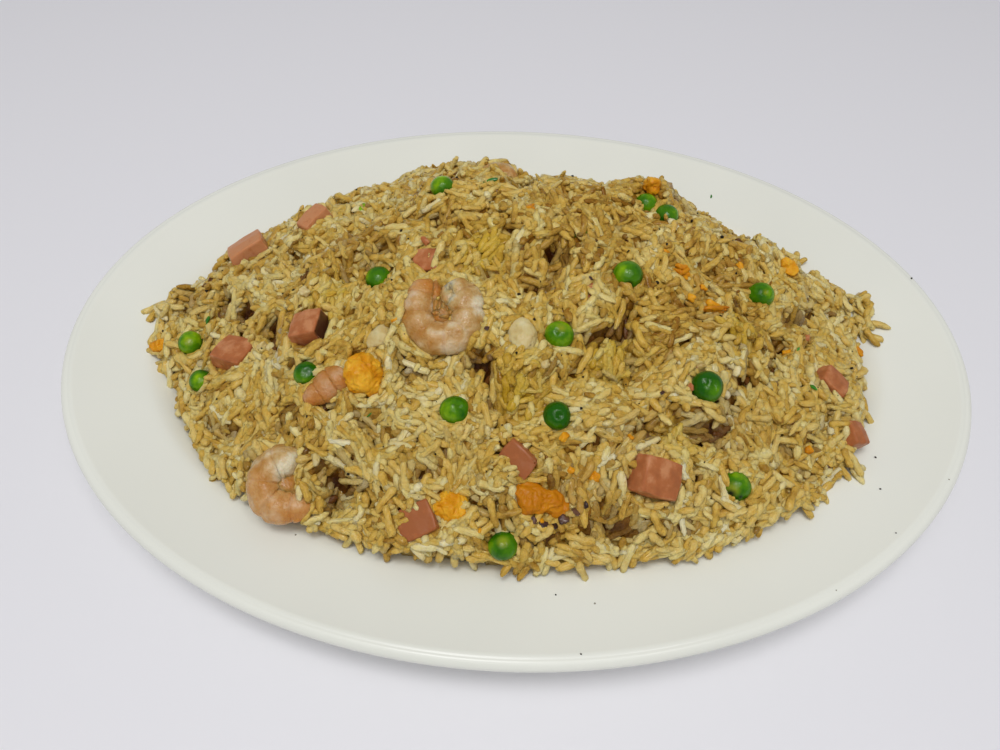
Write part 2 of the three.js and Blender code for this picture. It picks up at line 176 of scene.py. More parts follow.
def fit(piece, *nodes):
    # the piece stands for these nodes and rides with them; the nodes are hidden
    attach(piece, "root")
    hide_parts(*nodes)


def addTo(piece):
    # the piece rides along and stands for no node of its own
    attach(piece, "root")


toppings = [node for node in sorted(frame["nodes"]) if node not in ("plate", "rice")]


def kindOf(node):
    return node.rsplit("_", 1)[0]


def nodesOf(kind):
    return [node for node in toppings if kindOf(node) == kind]


# the platter is spun finely from the same section as its node; lengths are along X
platter = {
    "segments": 288,
    "lipRadius": 2.3 * mm,
    "shoulder": 123.5 * mm,  # where the rim turns down
    "shoulderHeight": 17.2 * mm,
    "wellFloor": 104 * mm,
    "floorHeight": 7 * mm,
    "wall": 4 * mm,
    "footOuter": 99 * mm,
    "footWidth": 5 * mm,
    "footRound": 0.8 * mm,
    "glaze": {"Roughness": 0.22, "IOR": 1.5, "Specular IOR Level": 0.3},
    "paler": "#EFF0E6",
    "darker": "#EBECE2",
    "speck": "#8C8676",
    "cloudSize": 71.4 * mm,
    "pitSpacing": 16.1 * mm,
    "waveSize": 22.2 * mm,  # of the waviness that the glaze keeps from firing
}
plateLow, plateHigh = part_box("plate")
halfLength, halfWidth, plateHeight = plateHigh.x, plateHigh.y, plateHigh.z
drawnIn = halfLength - halfWidth
innerRing = 2 * drawnIn


def bezier(points, count):
    # points on a Bezier curve of any degree, ends included
    share = np.linspace(0, 1, count)[:, None]
    degree = len(points) - 1
    return sum(math.comb(degree, i) * (1 - share) ** (degree - i) * share ** i * np.array(p)
               for i, p in enumerate(points))


lipR = halfLength - platter["lipRadius"]
lipZ = plateHeight - platter["lipRadius"]
rimTop = (lipR - 0.6 * mm, plateHeight)
shoulderTop = (platter["shoulder"] + 3 * mm, platter["shoulderHeight"] + 1.1 * mm)
floorEdge = (platter["wellFloor"], platter["floorHeight"])
wallCurve = bezier([floorEdge, (platter["wellFloor"] + 11 * mm, platter["floorHeight"] + 0.3 * mm),
                    (platter["shoulder"] - 5.5 * mm, platter["shoulderHeight"] - 1.6 * mm), shoulderTop], 20)
rimCurve = bezier([shoulderTop, (halfLength - 13 * mm, plateHeight - 3.6 * mm), rimTop], 16)
topProfile = np.vstack([wallCurve, rimCurve[1:]])


def ringHalfWidth(r):
    # half the width of the oval ring that is r long; the rim is as wide all round
    return np.where(r > innerRing, r - drawnIn, r / 2)


def plateTop(x, y):
    # height of the platter's upper face at x and y, for arrays
    low = np.full(np.shape(x), innerRing / 2)
    high = np.full(np.shape(x), halfLength + 20 * mm)
    for _ in range(24):
        middle = (low + high) / 2
        outside = (x / middle) ** 2 + (y / ringHalfWidth(middle)) ** 2 > 1
        low = np.where(outside, middle, low)
        high = np.where(outside, high, middle)
    return np.interp(low, topProfile[:, 0], topProfile[:, 1])


def platterSection():
    # from the middle of the underside, over the lip, to the middle of the floor
    floor, wall = platter["floorHeight"], platter["wall"]
    under = floor - wall
    footOuter, footRound = platter["footOuter"], platter["footRound"]
    footInner = footOuter - platter["footWidth"]
    lipAngles = np.linspace(-1.75, 1.8, 18)
    lip = [(lipR + platter["lipRadius"] * math.cos(a), lipZ + platter["lipRadius"] * math.sin(a))
           for a in lipAngles]
    shoulderUnder = (platter["shoulder"] + 4 * mm, platter["shoulderHeight"] - wall + 1 * mm)
    below = bezier([(footOuter + 1.5 * mm, under), (footOuter + 12 * mm, under + 0.6 * mm),
                    (platter["shoulder"] - 7 * mm, floor + 1.2 * mm), shoulderUnder], 14)
    outward = bezier([shoulderUnder, (halfLength - 14 * mm, plateHeight - 8 * mm), lip[0]], 10)
    section = [(0, under), (innerRing, under), (footInner - 2.2 * mm, under),
               (footInner - 1.2 * mm, under - 0.4 * mm), (footInner - 0.2 * mm, footRound),
               (footInner + footRound, 0), (footOuter - footRound, 0), (footOuter, footRound),
               *below[:-1], *outward[:-1], *lip, *topProfile[::-1], (innerRing, floor), (0, floor)]
    return np.array(section)


def makePlatter(material):
    section = platterSection()
    count = platter["segments"]
    turns = np.arange(count) * 2 * np.pi / count
    rings = []
    for r, z in section[1:-1]:
        x, y = r * np.cos(turns), ringHalfWidth(r) * np.sin(turns)
        rings.append(np.stack([x, y, np.full(count, z)], 1))
    vertices = [(0, 0, section[0][1]), *np.vstack(rings).tolist(), (0, 0, section[-1][1])]
    faces = []
    for k in range(count):
        after = (k + 1) % count
        faces.append((0, 1 + after, 1 + k))
        for ring in range(len(rings) - 1):
            a = 1 + ring * count
            b = a + count
            faces.append((a + k, a + after, b + after, b + k))
        last = 1 + (len(rings) - 1) * count
        faces.append((last + k, last + after, len(vertices) - 1))
    return newPiece("platter", vertices, faces, material)


def glazedPorcelain():
    # fired porcelain under a clear glaze: warm white, mirror-like highlights, faint waviness of the glaze
    material, tree, surface, place = newMaterial("glazedPorcelain", platter["glaze"])
    cloud = addNode(tree, "ShaderNodeTexNoise",
                    {"Vector": place, "Scale": 1 / platter["cloudSize"], "Detail": 2.0})
    body = addNode(tree, "ShaderNodeValToRGB", {"Fac": cloud.outputs["Fac"]},
                   stops=[(0.35, platter["darker"]), (0.65, platter["paler"])])
    # a dark speck in the middle of a pit here and there, as in most glazes
    pits = addNode(tree, "ShaderNodeTexVoronoi",
                   {"Vector": place, "Scale": 1 / platter["pitSpacing"], "Randomness": 1.0})
    speck = addNode(tree, "ShaderNodeMath", {0: pits.outputs["Distance"], 1: 0.018}, operation="LESS_THAN")
    color = addNode(tree, "ShaderNodeMix", {"Factor": speck.outputs[0], 6: body.outputs["Color"],
                                            7: linearColor(platter["speck"])}, data_type="RGBA")
    wave = addNode(tree, "ShaderNodeTexNoise",
                   {"Vector": place, "Scale": 1 / platter["waveSize"], "Detail": 1.0})
    bump = addNode(tree, "ShaderNodeBump",
                   {"Height": wave.outputs["Fac"], "Strength": 0.05, "Distance": 0.4 * mm})
    tree.links.new(color.outputs[2], surface.inputs["Base Color"])
    tree.links.new(bump.outputs["Normal"], surface.inputs["Normal"])
    return material


platterPiece = makePlatter(glazedPorcelain())
fit(platterPiece, "plate")
report("platter made")

# height maps of the heap's surface, the platter and the toppings as seen from above
mapStep = 0.5 * mm
mapLow = np.array([plateLow.x, plateLow.y])
mapSize = (int(round(2 * halfLength / mapStep)) + 1, int(round(2 * halfWidth / mapStep)) + 1)
mapX, mapY = np.meshgrid(mapLow[0] + np.arange(mapSize[0]) * mapStep,
                         mapLow[1] + np.arange(mapSize[1]) * mapStep, indexing="ij")


def heightMap(vertices, triangles):
    # the highest point of the triangles over each cell, and -1 where there is none
    heights = np.full(mapSize, -1.0)
    for a, b, c in vertices[triangles]:
        flat = (b[1] - c[1]) * (a[0] - c[0]) + (c[0] - b[0]) * (a[1] - c[1])
        if abs(flat) < 1e-12:
            continue
        low = np.maximum(np.ceil((np.minimum(np.minimum(a, b), c)[:2] - mapLow) / mapStep).astype(int), 0)
        high = np.floor((np.maximum(np.maximum(a, b), c)[:2] - mapLow) / mapStep).astype(int) + 1
        if (high <= low).any():
            continue
        part = (slice(low[0], high[0]), slice(low[1], high[1]))
        x, y = mapX[part], mapY[part]
        u = ((b[1] - c[1]) * (x - c[0]) + (c[0] - b[0]) * (y - c[1])) / flat
        v = ((c[1] - a[1]) * (x - c[0]) + (a[0] - c[0]) * (y - c[1])) / flat
        inside = (u >= -1e-6) & (v >= -1e-6) & (u + v <= 1 + 1e-6)
        z = u * a[2] + v * b[2] + (1 - u - v) * c[2]
        heights[part] = np.where(inside, np.maximum(heights[part], z), heights[part])
    return heights


def window(low, high):
    # the part of the maps that covers a rectangle, given by two corners
    first = [max(int((v - start) / mapStep), 0) for v, start in zip(low, mapLow)]
    last = [int((v - start) / mapStep) + 2 for v, start in zip(high, mapLow)]
    return slice(first[0], last[0]), slice(first[1], last[1])


def spread(mask, reach):
    # grows a mask by reach on every side
    steps = int(round(reach / mapStep))
    for _ in range(steps):
        grown = mask.copy()
        grown[1:] |= mask[:-1]
        grown[:-1] |= mask[1:]
        grown[:, 1:] |= mask[:, :-1]
        grown[:, :-1] |= mask[:, 1:]
        mask = grown
    return mask


def fillHoles(values, known):
    # gives each unknown cell the average of the nearest known ones, from coarse to fine
    if known.all() or min(values.shape) < 3:
        return values
    wide = [n + n % 2 for n in values.shape]
    sums, counts = np.zeros(wide), np.zeros(wide)
    sums[:values.shape[0], :values.shape[1]] = values * known
    counts[:values.shape[0], :values.shape[1]] = known
    sums = sums.reshape(wide[0] // 2, 2, wide[1] // 2, 2).sum((1, 3))
    counts = counts.reshape(wide[0] // 2, 2, wide[1] // 2, 2).sum((1, 3))
    coarse = fillHoles(sums / np.maximum(counts, 1), counts > 0)
    fine = coarse.repeat(2, 0).repeat(2, 1)[:values.shape[0], :values.shape[1]]
    return np.where(known, values, fine)


def neighbours(values):
    return [np.roll(values, shift, axis) for axis in (0, 1) for shift in (1, -1)]


def blurWhere(values, mask, times):
    # each round takes the mean of a cell's four neighbours
    for _ in range(times):
        values = np.where(mask, sum(neighbours(values)) / 4, values)
    return values


def smoothNoise(x, y, size, seed):
    # repeatable noise from -1 to 1, about one lump for each size
    lattice = np.random.default_rng(seed).uniform(-1, 1, (256, 256))
    u, v = x / size + 64, y / size + 64
    i, j = np.floor(u).astype(int), np.floor(v).astype(int)
    a, b = u - i, v - j
    a, b = a * a * (3 - 2 * a), b * b * (3 - 2 * b)
    i, j = i % 255, j % 255
    return (lattice[i, j] * (1 - a) * (1 - b) + lattice[i + 1, j] * a * (1 - b)
            + lattice[i, j + 1] * (1 - a) * b + lattice[i + 1, j + 1] * a * b)


riceMesh = mergedCopy("rice", "riceSource").data
riceTop = heightMap(vertexArray(riceMesh), faceArray(riceMesh))
toppingTop = np.full(mapSize, -1.0)
buried = np.zeros(mapSize)
# toppings that rice lies over, and about how much of each it hides
buriedNodes = {"pea_4": 0.3, "pea_11": 0.6, "pea_12": 0.45, "pea_14": 0.3, "pea_18": 0.6, "pea_19": 0.7,
               "ham_10": 0.85, "ham_11": 0.5, "ham_12": 0.9, "shrimp_3": 0.2}
for nodeName in toppings:
    part = frame["nodes"][nodeName].data
    own = heightMap(vertexArray(part), faceArray(part))
    toppingTop = np.maximum(toppingTop, own)
    buried = np.maximum(buried, (own > 0) * buriedNodes.get(nodeName, 0))
bpy.data.objects.remove(bpy.data.objects["riceSource"])
underlay = plateTop(mapX, mapY)
inHeap = riceTop > 0
pockets = spread(toppingTop > 0, 2.5 * mm) & spread(inHeap, 6 * mm)
heapTop = fillHoles(np.where(inHeap & ~pockets, riceTop, 0), inHeap & ~pockets)
heapTop = blurWhere(heapTop, pockets & inHeap, 60)
heapTop = np.where(inHeap, heapTop, underlay)
report("height maps made")

# the heap: clumps of grains laid one by one onto a core
heap = {
    "raised": 0.3 * mm,  # the clumps' mean surface lies this far over the solid heap's
    "shell": 3.8 * mm,  # depth of the real grains over the core
    "clumpSpacing": 15 * mm,
    "clumpRise": 4.6 * mm,  # one clump above the next
    "creaseDepth": 5.8 * mm,
    "pitDepth": 1.9 * mm,
    "creaseWidth": 0.17,  # as a share of the clumps' spacing
    "seed": 7,
    "grainLength": 9.3 * mm,
    "grainWidth": 2.45 * mm,
    "flatness": 0.78,
    "loose": 0.6,
    "sink": 0.3,  # how far grains press into what they lie on, as a share of their thickness
    "bundle": (2, 7),  # grains lying side by side
    "apart": 0.74,  # between neighbours in a bundle, as a share of their width
    # how far the rice that lies up against a topping stays under its top
    "bankUnder": {"pea": 4.4 * mm, "ham": 2.4 * mm, "shrimp": 4.0 * mm,
                  "egg": 2.4 * mm, "egg_white": 1.2 * mm},
    "bankReach": 4.5 * mm,
    "bankFall": 0.45,
    # grains reach past their middles, so these stay back from the heap's edge, most at the front and right
    "settleBack": 1.2 * mm,
    "settleBackFront": 3.7 * mm,
    "mostPushed": 2.2 * mm,
    "poking": 1.2 * mm,  # how far a typical grain's end may stand out of the clump
    "laidGrains": 6900,
    "pressedGrains": 1900,
    "press": (0.5 * mm, 1.5 * mm),  # how much deeper a pressed grain lies than a laid one
    "pressedLean": 0.34,
    "coverCells": 14,  # how much of a topping a grain may hide, in cells of the height maps
    "coverBuried": 60,  # the same for the toppings that rice lies over
    "beddedGrains": 6000,  # pressed into the core as relief
    # grains that slid to the heap's foot: x, y and reach in mm, and how many
    "strays": [(123, 15, 4, 26), (117, 22, 4, 14), (120, 7, 3, 10), (-122, 5, 3.5, 20), (-115, 13, 3.5, 10),
               (-62, -69, 2, 4), (58, -71, 3, 7), (17, -80, 3, 8), (37, -77, 3, 5), (-34, -76, 3, 6),
               (-100, -44, 2, 4), (103, -49, 2, 4), (113, -30, 2, 4), (69, 64, 2, 6), (105, 41, 3, 6),
               (-70, 52, 2, 5), (-106, 26, 2, 5), (-10, -79, 3, 6), (80, -62, 3, 6), (-85, -60, 2, 5),
               (116, -12, 2, 5), (-114, -12, 2, 5)],
    "gapsAbove": 0.96,  # the lower, the more dark holes between the clumps
    "gapDepth": 5.4 * mm,
    "fused": (1.0 * mm, 3.2 * mm),  # how far under the grains' backs the rice is stuck together
    "underTopping": 3.5 * mm,  # how far the core stays under the toppings' tops
    "tone": 0.575,  # of a typical grain, from 0 for the palest to 1 for the brownest
    "toneSpread": 0.09,
    "clumpToneSpread": 0.045,
    "paleShare": 0.26,  # grains that took up little soy and oil
    "paleTone": -0.22,
    "coreShadeTone": 0.34,  # painted shade: how much browner the core is than the grains over it
}


def clumpCells():
    # which clump each cell belongs to, and how far it is from the clump's middle
    rng = np.random.default_rng(heap["seed"])
    spacing = heap["clumpSpacing"]
    count = int(4 * halfLength * halfWidth / spacing ** 2 * 1.3)
    middles = rng.uniform(-1, 1, (count, 2)) * (halfLength, halfWidth)
    # their borders are warped, so that no clump is a plain polygon
    warpX = mapX + 3 * mm * smoothNoise(mapX, mapY, 7 * mm, 31)
    warpX += 1.5 * mm * smoothNoise(mapX, mapY, 3 * mm, 33)
    warpY = mapY + 3 * mm * smoothNoise(mapX, mapY, 7 * mm, 32)
    warpY += 1.5 * mm * smoothNoise(mapX, mapY, 3 * mm, 34)
    away = np.full(mapSize, 9.0)
    second = np.full(mapSize, 9.0)
    number = np.zeros(mapSize, dtype=int)
    for k, (x, y) in enumerate(middles):
        distance = np.hypot(warpX - x, warpY - y) / spacing
        number = np.where(distance < away, k, number)
        second = np.where(distance < away, away, np.minimum(second, distance))
        away = np.minimum(away, distance)
    return number, away, second - away, count


clumpNumber, clumpAway, clumpBorder, clumpCount = clumpCells()
clumpRng = np.random.default_rng(heap["seed"] + 2)
clumpLevel = clumpRng.uniform(-0.5, 0.5, clumpCount)[clumpNumber]
clumpHeading = clumpRng.uniform(0, math.pi, clumpCount)[clumpNumber]
clumpTone = clumpRng.normal(0, heap["clumpToneSpread"], clumpCount)[clumpNumber]
shown = (toppingTop > heapTop - 2.2 * mm) & (toppingTop > 0)
nearTopping = spread(shown, 4 * mm)


def banked():
    # rice lies up against each topping's sides: how high, out to a few millimetres from it
    level = np.full(mapSize, -1.0)
    reach = heap["bankReach"]
    for node in toppings:
        low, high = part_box(node)
        part = window((low.x - reach, low.y - reach), (high.x + reach, high.y + reach))
        x, y = mapX[part], mapY[part]
        across = np.hypot(np.maximum(np.maximum(low.x - x, x - high.x), 0),
                          np.maximum(np.maximum(low.y - y, y - high.y), 0))
        top = high.z - heap["bankUnder"][kindOf(node)]
        rise = np.where(across < reach, top - heap["bankFall"] * across, -1.0)
        level[part] = np.maximum(level[part], rise)
    return level


banks = banked()


def clumpOutline():
    # rounded clumps that meet in creases, some deep and some closed; close to the toppings they stay low
    gape = np.clip(0.3 + 1.6 * smoothNoise(mapX, mapY, 9 * mm, 35), 0, 1)
    crease = np.exp(-(clumpBorder / heap["creaseWidth"]) ** 2) * heap["creaseDepth"] * gape
    relief = heap["clumpRise"] * (clumpLevel + 0.3 - 0.7 * np.minimum(clumpAway, 1.0)) - crease
    relief += 0.7 * mm * smoothNoise(mapX, mapY, 5 * mm, 36)
    relief = np.where(nearTopping, np.clip(relief, -0.8 * mm, 1.5 * mm), relief)
    edge = np.clip((heapTop - underlay) / (10 * mm), 0.3, 1)
    outline = heapTop + heap["raised"] * edge + np.where(inHeap, relief * edge, 0)
    rise = np.clip(banks - outline, 0, 3.5 * mm) * (inHeap & ~shown)
    outline = outline + rise * np.clip(0.85 + 0.5 * smoothNoise(mapX, mapY, 4 * mm, 42), 0.3, 1)
    lid = (buried > 0) & (smoothNoise(mapX, mapY, 5 * mm, 39) < 1.6 * buried - 0.8)
    outline = np.where(lid, np.maximum(outline, toppingTop + 1.6 * mm), outline)
    # no pit narrower than a grain
    outline = np.maximum(outline, blurWhere(outline, inHeap, 60) - heap["pitDepth"])
    outline = blurWhere(outline, inHeap, 3)
    return np.maximum(outline, underlay + 0.9 * mm)


outline = clumpOutline()
# holes between the clumps, where no grain's middle lies
gaps = smoothNoise(mapX, mapY, 3.7 * mm, 45) + 0.6 * smoothNoise(mapX, mapY, 2.0 * mm, 46) > heap["gapsAbove"]
gaps &= inHeap & ~spread(shown, 1.5 * mm) & (heapTop - underlay > 7 * mm)
report(f"clumps laid out, holes over {gaps.sum() / inHeap.sum():.3f} of the heap")


def envelope():
    # a smooth sheet over the clumps' tops: what lies far under it gets little light and holds the sauce
    high = outline
    for _ in range(5):
        high = np.maximum.reduce([high, *neighbours(high)])
    sheet = blurWhere(high, np.ones(mapSize, bool), 12) - 0.6 * mm
    thick = np.clip((heapTop - underlay) / (14 * mm), 0, 1)
    return outline + (sheet - outline) * thick


crownSheet = envelope()
# light reaches the foot of the heap from the side: the darkening by depth grows inward from its edge
inward = 0.1 + 0.9 * sum(~spread(~inHeap, reach * mm) for reach in (2, 4, 6, 8, 10)) / 5


def cellAt(x, y):
    return (np.clip(np.rint((x - mapLow[0]) / mapStep).astype(int), 0, mapSize[0] - 1),
            np.clip(np.rint((y - mapLow[1]) / mapStep).astype(int), 0, mapSize[1] - 1))


def between(values, x, y):
    # the map's value at x and y, read between its cells
    u, v = (x - mapLow[0]) / mapStep, (y - mapLow[1]) / mapStep
    i = np.clip(np.floor(u).astype(int), 0, mapSize[0] - 2)
    j = np.clip(np.floor(v).astype(int), 0, mapSize[1] - 2)
    a, b = np.clip(u - i, 0, 1), np.clip(v - j, 0, 1)
    return (values[i, j] * (1 - a) * (1 - b) + values[i + 1, j] * a * (1 - b)
            + values[i, j + 1] * (1 - a) * b + values[i + 1, j + 1] * a * b)


# a grain is tried at these shares of its length, and props are picked from both sides of its middle
shares = np.array([-0.46, -0.32, -0.16, 0.0, 0.16, 0.32, 0.46])
propLeft, propRight = np.array([(i, j) for i in range(4) for j in range(3, 7) if i < j]).T
spanLengths = shares[propRight] - shares[propLeft]


def layGrain(surface, limit, grain, rng, beside=None, press=None):
    # rests one grain on two points under it, and raises the surface; None if it would stick out.
    # A grain stuck beside another keeps close to that one's height and slope
    x, y, turn, lean, length, width = grain
    thick = width * heap["flatness"]
    along = np.array([math.cos(turn), math.sin(turn)])
    across = np.array([-along[1], along[0]])
    places = shares * length
    lineX, lineY = x + along[0] * places, y + along[1] * places
    heights = np.full(len(shares), -1.0)
    for side in (-0.28 * width, 0.0, 0.28 * width):
        heights = np.maximum(heights, surface[cellAt(lineX + across[0] * side, lineY + across[1] * side)])
    spans = spanLengths * length
    middle = (heights[propLeft] * places[propRight] - heights[propRight] * places[propLeft]) / spans
    best = int(np.argmax(middle))
    slope = (heights[propRight[best]] - heights[propLeft[best]]) / spans[best]
    # a grain that is stuck in follows the mean of what is under it; a loose one rests on its two props
    loose = heap["loose"] * rng.random()
    meanSlope = (places * heights).sum() / (places ** 2).sum()
    slope = loose * slope + (1 - loose) * meanSlope
    rest = loose * middle[best] + (1 - loose) * heights.mean()
    pitch = max(-1.2, min(1.2, math.atan(slope) + lean))
    centre = rest + thick * (0.5 - heap["sink"]) / max(0.5, math.cos(pitch)) - (press or 0)
    if beside and abs(centre - beside[0]) < 1.3 * mm:
        centre = 0.25 * centre + 0.75 * beside[0]
        pitch = 0.3 * pitch + 0.7 * beside[1]
    # one that would stand out too far is pushed in
    out = centre + places * math.sin(pitch) + 0.5 * thick - limit[cellAt(lineX, lineY)]
    excess = max(out[2:5].max() - 1.2 * mm, out.max() - rng.exponential(heap["poking"]) - 0.9 * mm, 0)
    if excess > heap["mostPushed"]:
        return None
    centre -= excess
    reach = 0.5 * length * abs(math.cos(pitch)) + 0.5 * width
    part = window((x - reach, y - reach), (x + reach, y + reach))
    dx, dy = mapX[part] - x, mapY[part] - y
    s = (dx * along[0] + dy * along[1]) / (0.5 * length * max(0.3, math.cos(pitch)))
    t = (dx * across[0] + dy * across[1]) / (0.5 * width)
    room = 1 - s ** 4 - t ** 2
    top = centre + s * 0.5 * length * math.sin(pitch) + 0.5 * thick * np.sqrt(np.maximum(room, 0))
    hides = (room > 0) & shown[part] & (top > toppingTop[part] - 0.3 * mm)
    if hides.any():
        allowed = heap["coverBuried"] if (hides & (buried[part] > 0)).any() else heap["coverCells"]
        if hides.sum() > rng.exponential(allowed):
            return None
    surface[part] = np.where(room > 0, np.maximum(surface[part], top), surface[part])
    return centre, pitch


def grainTone(i, j, rng):
    # most grains are stained by soy and oil, some stayed pale
    tone = heap["tone"] + clumpTone[i, j] + 0.06 * stain[i, j] + 0.12 * oily[i, j]
    tone += rng.normal(0, heap["toneSpread"])
    return tone + (heap["paleTone"] if rng.random() < heap["paleShare"] else 0)


def grainRow(x, y, rested, turn, length, width, cell, depth, rng):
    # one row of the grains' table, in the order of grainColumns
    centre, pitch = rested
    return (x, y, centre, rng.uniform(-0.5, 0.5), -pitch, turn, length, width, grainTone(*cell, rng), depth)


grainColumns = ["x", "y", "z", "roll", "pitch", "turn", "length", "width", "tone", "depth"]
stain = smoothNoise(mapX, mapY, 21 * mm, 12)
# the crown took up more oil and soy than the sides
oily = np.exp(-((mapX - 12 * mm) / (70 * mm)) ** 2 - ((mapY - 4 * mm) / (50 * mm)) ** 2)

# where a grain's middle may lie
settled = np.where((mapY < -20 * mm) | (mapX > 60 * mm), ~spread(~inHeap, heap["settleBackFront"]),
                   ~spread(~inHeap, heap["settleBack"]))
# along the edge most grains have slid down flat and lie the way it runs
alongEdge = np.arctan2(mapX / np.ptp(mapX) ** 2, -mapY / np.ptp(mapY) ** 2)
clumpHeading = np.where(spread(~settled, 6 * mm), alongEdge, clumpHeading)


def openCells(limit):
    # the cells where a grain may be tried: on the settled rice, and not under a topping that shows
    return np.argwhere(settled & ~gaps & ~(shown & (toppingTop > limit - 0.8 * mm)))


def lowestOf(cells, surface, limit, rng, tries):
    # the cell that lies lowest under its limit out of a few, and how far
    tried = cells[rng.integers(0, len(cells), tries)]
    lack = limit[tried[:, 0], tried[:, 1]] - surface[tried[:, 0], tried[:, 1]]
    return tried[int(np.argmax(lack))], lack.max()


def grainSize(rng, widthSpread, widthRange):
    length = heap["grainLength"] * float(np.clip(rng.normal(1, 0.13), 0.6, 1.25))
    return length, heap["grainWidth"] * float(np.clip(rng.normal(1, widthSpread), *widthRange))


def fillWithGrains(surface, limit, most, seed):
    # bundles of near-parallel grains, dropped where the surface lies lowest under its limit
    rng = np.random.default_rng(seed)
    cells = openCells(limit)
    grains = []
    tries = 0
    while len(grains) < most and tries < 5 * most:
        (i, j), lack = lowestOf(cells, surface, limit, rng, 16)
        tries += 1
        if lack < 0.3 * mm:
            continue
        turn = clumpHeading[i, j] + rng.normal(0, 0.45)
        if rng.random() < 0.4:
            turn = rng.uniform(0, math.pi)
        lean = rng.normal(0, 0.2) if rng.random() < 0.62 else rng.normal(0, 0.65)
        along = np.array([math.cos(turn), math.sin(turn)])
        across = np.array([-along[1], along[0]])
        first = None
        for member in range(int(rng.integers(*heap["bundle"]))):
            side = ((member + 1) // 2) * (1 if member % 2 else -1) * heap["apart"] * heap["grainWidth"]
            slide = rng.uniform(-0.25, 0.25) * heap["grainLength"] * min(member, 1)
            x = mapX[i, j] + across[0] * side + along[0] * slide
            y = mapY[i, j] + across[1] * side + along[1] * slide
            cell = cellAt(x, y)
            if not settled[cell] or gaps[cell] or limit[cell] - surface[cell] < 0.1 * mm:
                continue
            tries += 1
            length, width = grainSize(rng, 0.1, (0.8, 1.3))
            heading = turn + rng.normal(0, 0.13)
            beside = None
            if first:
                fall = float(limit[cell] - limit[i, j])
                beside = (first[0] + max(-1.5 * mm, min(1.5 * mm, fall)), first[1])
            rested = layGrain(surface, limit, (x, y, heading, lean, length, width), rng, beside)
            if rested:
                first = first or rested
                depth = max(0.0, float(crownSheet[cell]) - rested[0]) * inward[cell]
                grains.append(grainRow(x, y, rested, heading, length, width, (i, j), depth, rng))
    report(len(grains), "grains laid")
    return grains


def pressIn(surface, limit, most, seed):
    # grains half buried in the ones already laid, so that ends and backs show between them
    rng = np.random.default_rng(seed)
    cells = openCells(limit)
    grains = []
    for _ in range(int(most * 1.8)):
        if len(grains) >= most:
            break
        (i, j), _ = lowestOf(cells, surface, limit, rng, 2)
        x, y = mapX[i, j], mapY[i, j]
        turn = clumpHeading[i, j] + rng.normal(0, 0.5) if rng.random() < 0.5 else rng.uniform(0, math.pi)
        length, width = grainSize(rng, 0.12, (0.75, 1.3))
        lean = rng.normal(0, heap["pressedLean"])
        press = rng.uniform(*heap["press"])
        rested = layGrain(surface, limit, (x, y, turn, lean, length, width), rng, press=press)
        if rested:
            upper = rested[0] + 0.35 * length * abs(math.sin(rested[1]))
            depth = max(0.0, float(crownSheet[i, j]) - upper) * inward[i, j]
            grains.append(grainRow(x, y, rested, turn, length, width, (i, j), depth, rng))
    report(len(grains), "grains pressed in")
    return grains


# the core: first its own uneven surface, then the relief of the grains pressed into that
packed = 0.5 * smoothNoise(mapX, mapY, 2.2 * mm, 37) + 0.5 * smoothNoise(mapX, mapY, 4 * mm, 38)
coreZone = ~spread(~settled, 2.0 * mm)
coreSurface = np.maximum(outline - np.where(gaps, heap["gapDepth"], heap["shell"]) + packed * mm, underlay)
coreSurface = np.where(coreZone, coreSurface, underlay)
pressIn(coreSurface, coreSurface + 1.2 * mm, heap["beddedGrains"], heap["seed"] + 6)
underTopping = np.where(toppingTop > 0, np.minimum(toppingTop, outline) - 1 * mm, 0)
topSurface = np.maximum(coreSurface, underTopping)
grainRows = fillWithGrains(topSurface, outline, heap["laidGrains"], heap["seed"] + 4)
grainRows += pressIn(topSurface, outline, heap["pressedGrains"], heap["seed"] + 5)


def strayGrains():
    # loose ones that rolled down onto the platter, in a patch around each spot
    rng = np.random.default_rng(heap["seed"] + 8)
    limit = np.maximum(topSurface, underlay) + 2.6 * mm
    rows = []
    for spotX, spotY, reach, count in heap["strays"]:
        for _ in range(count):
            x, y = spotX * mm + rng.normal(0, reach) * mm, spotY * mm + rng.normal(0, 0.8 * reach) * mm
            length = heap["grainLength"] * rng.uniform(0.7, 1.05)
            width = heap["grainWidth"] * rng.uniform(0.85, 1.1)
            turn = rng.uniform(0, math.pi)
            rested = layGrain(topSurface, limit, (x, y, turn, rng.normal(0, 0.1), length, width), rng)
            if rested:
                rows.append(grainRow(x, y, rested, turn, length, width, cellAt(x, y), 0, rng))
    return rows


grains = dict(zip(grainColumns, np.array(grainRows + strayGrains()).T))


def fusedSurface():
    # grains stick together, so the gaps between them are closed a little way down
    least, most = heap["fused"]
    gape = 0.1 + smoothNoise(mapX, mapY, 8 * mm, 43) + 0.5 * smoothNoise(mapX, mapY, 3 * mm, 44)
    level = blurWhere(topSurface, inHeap, 6) - (least + (most - least) * np.clip(gape, 0, 1))
    bare = shown | gaps | (heapTop - underlay < 4 * mm) | ~coreZone
    fused = np.where(bare, coreSurface, np.maximum(coreSurface, np.minimum(level, outline)))
    # well under the toppings, also where one lies tilted
    under = np.maximum(toppingTop - heap["underTopping"], underlay)
    return np.where(shown, np.minimum(fused, under), fused)


def toneMap():
    # the mean tone of the grains over each cell
    total, count = np.zeros(mapSize), np.zeros(mapSize)
    for share in (-0.4, -0.2, 0, 0.2, 0.4):
        at = cellAt(grains["x"] + np.cos(grains["turn"]) * share * grains["length"],
                    grains["y"] + np.sin(grains["turn"]) * share * grains["length"])
        np.add.at(total, at, grains["tone"])
        np.add.at(count, at, 1)
    return blurWhere(fillHoles(total / np.maximum(count, 1), count > 0), inHeap, 2)


fusedLevel = fusedSurface()
fusedTone = toneMap()

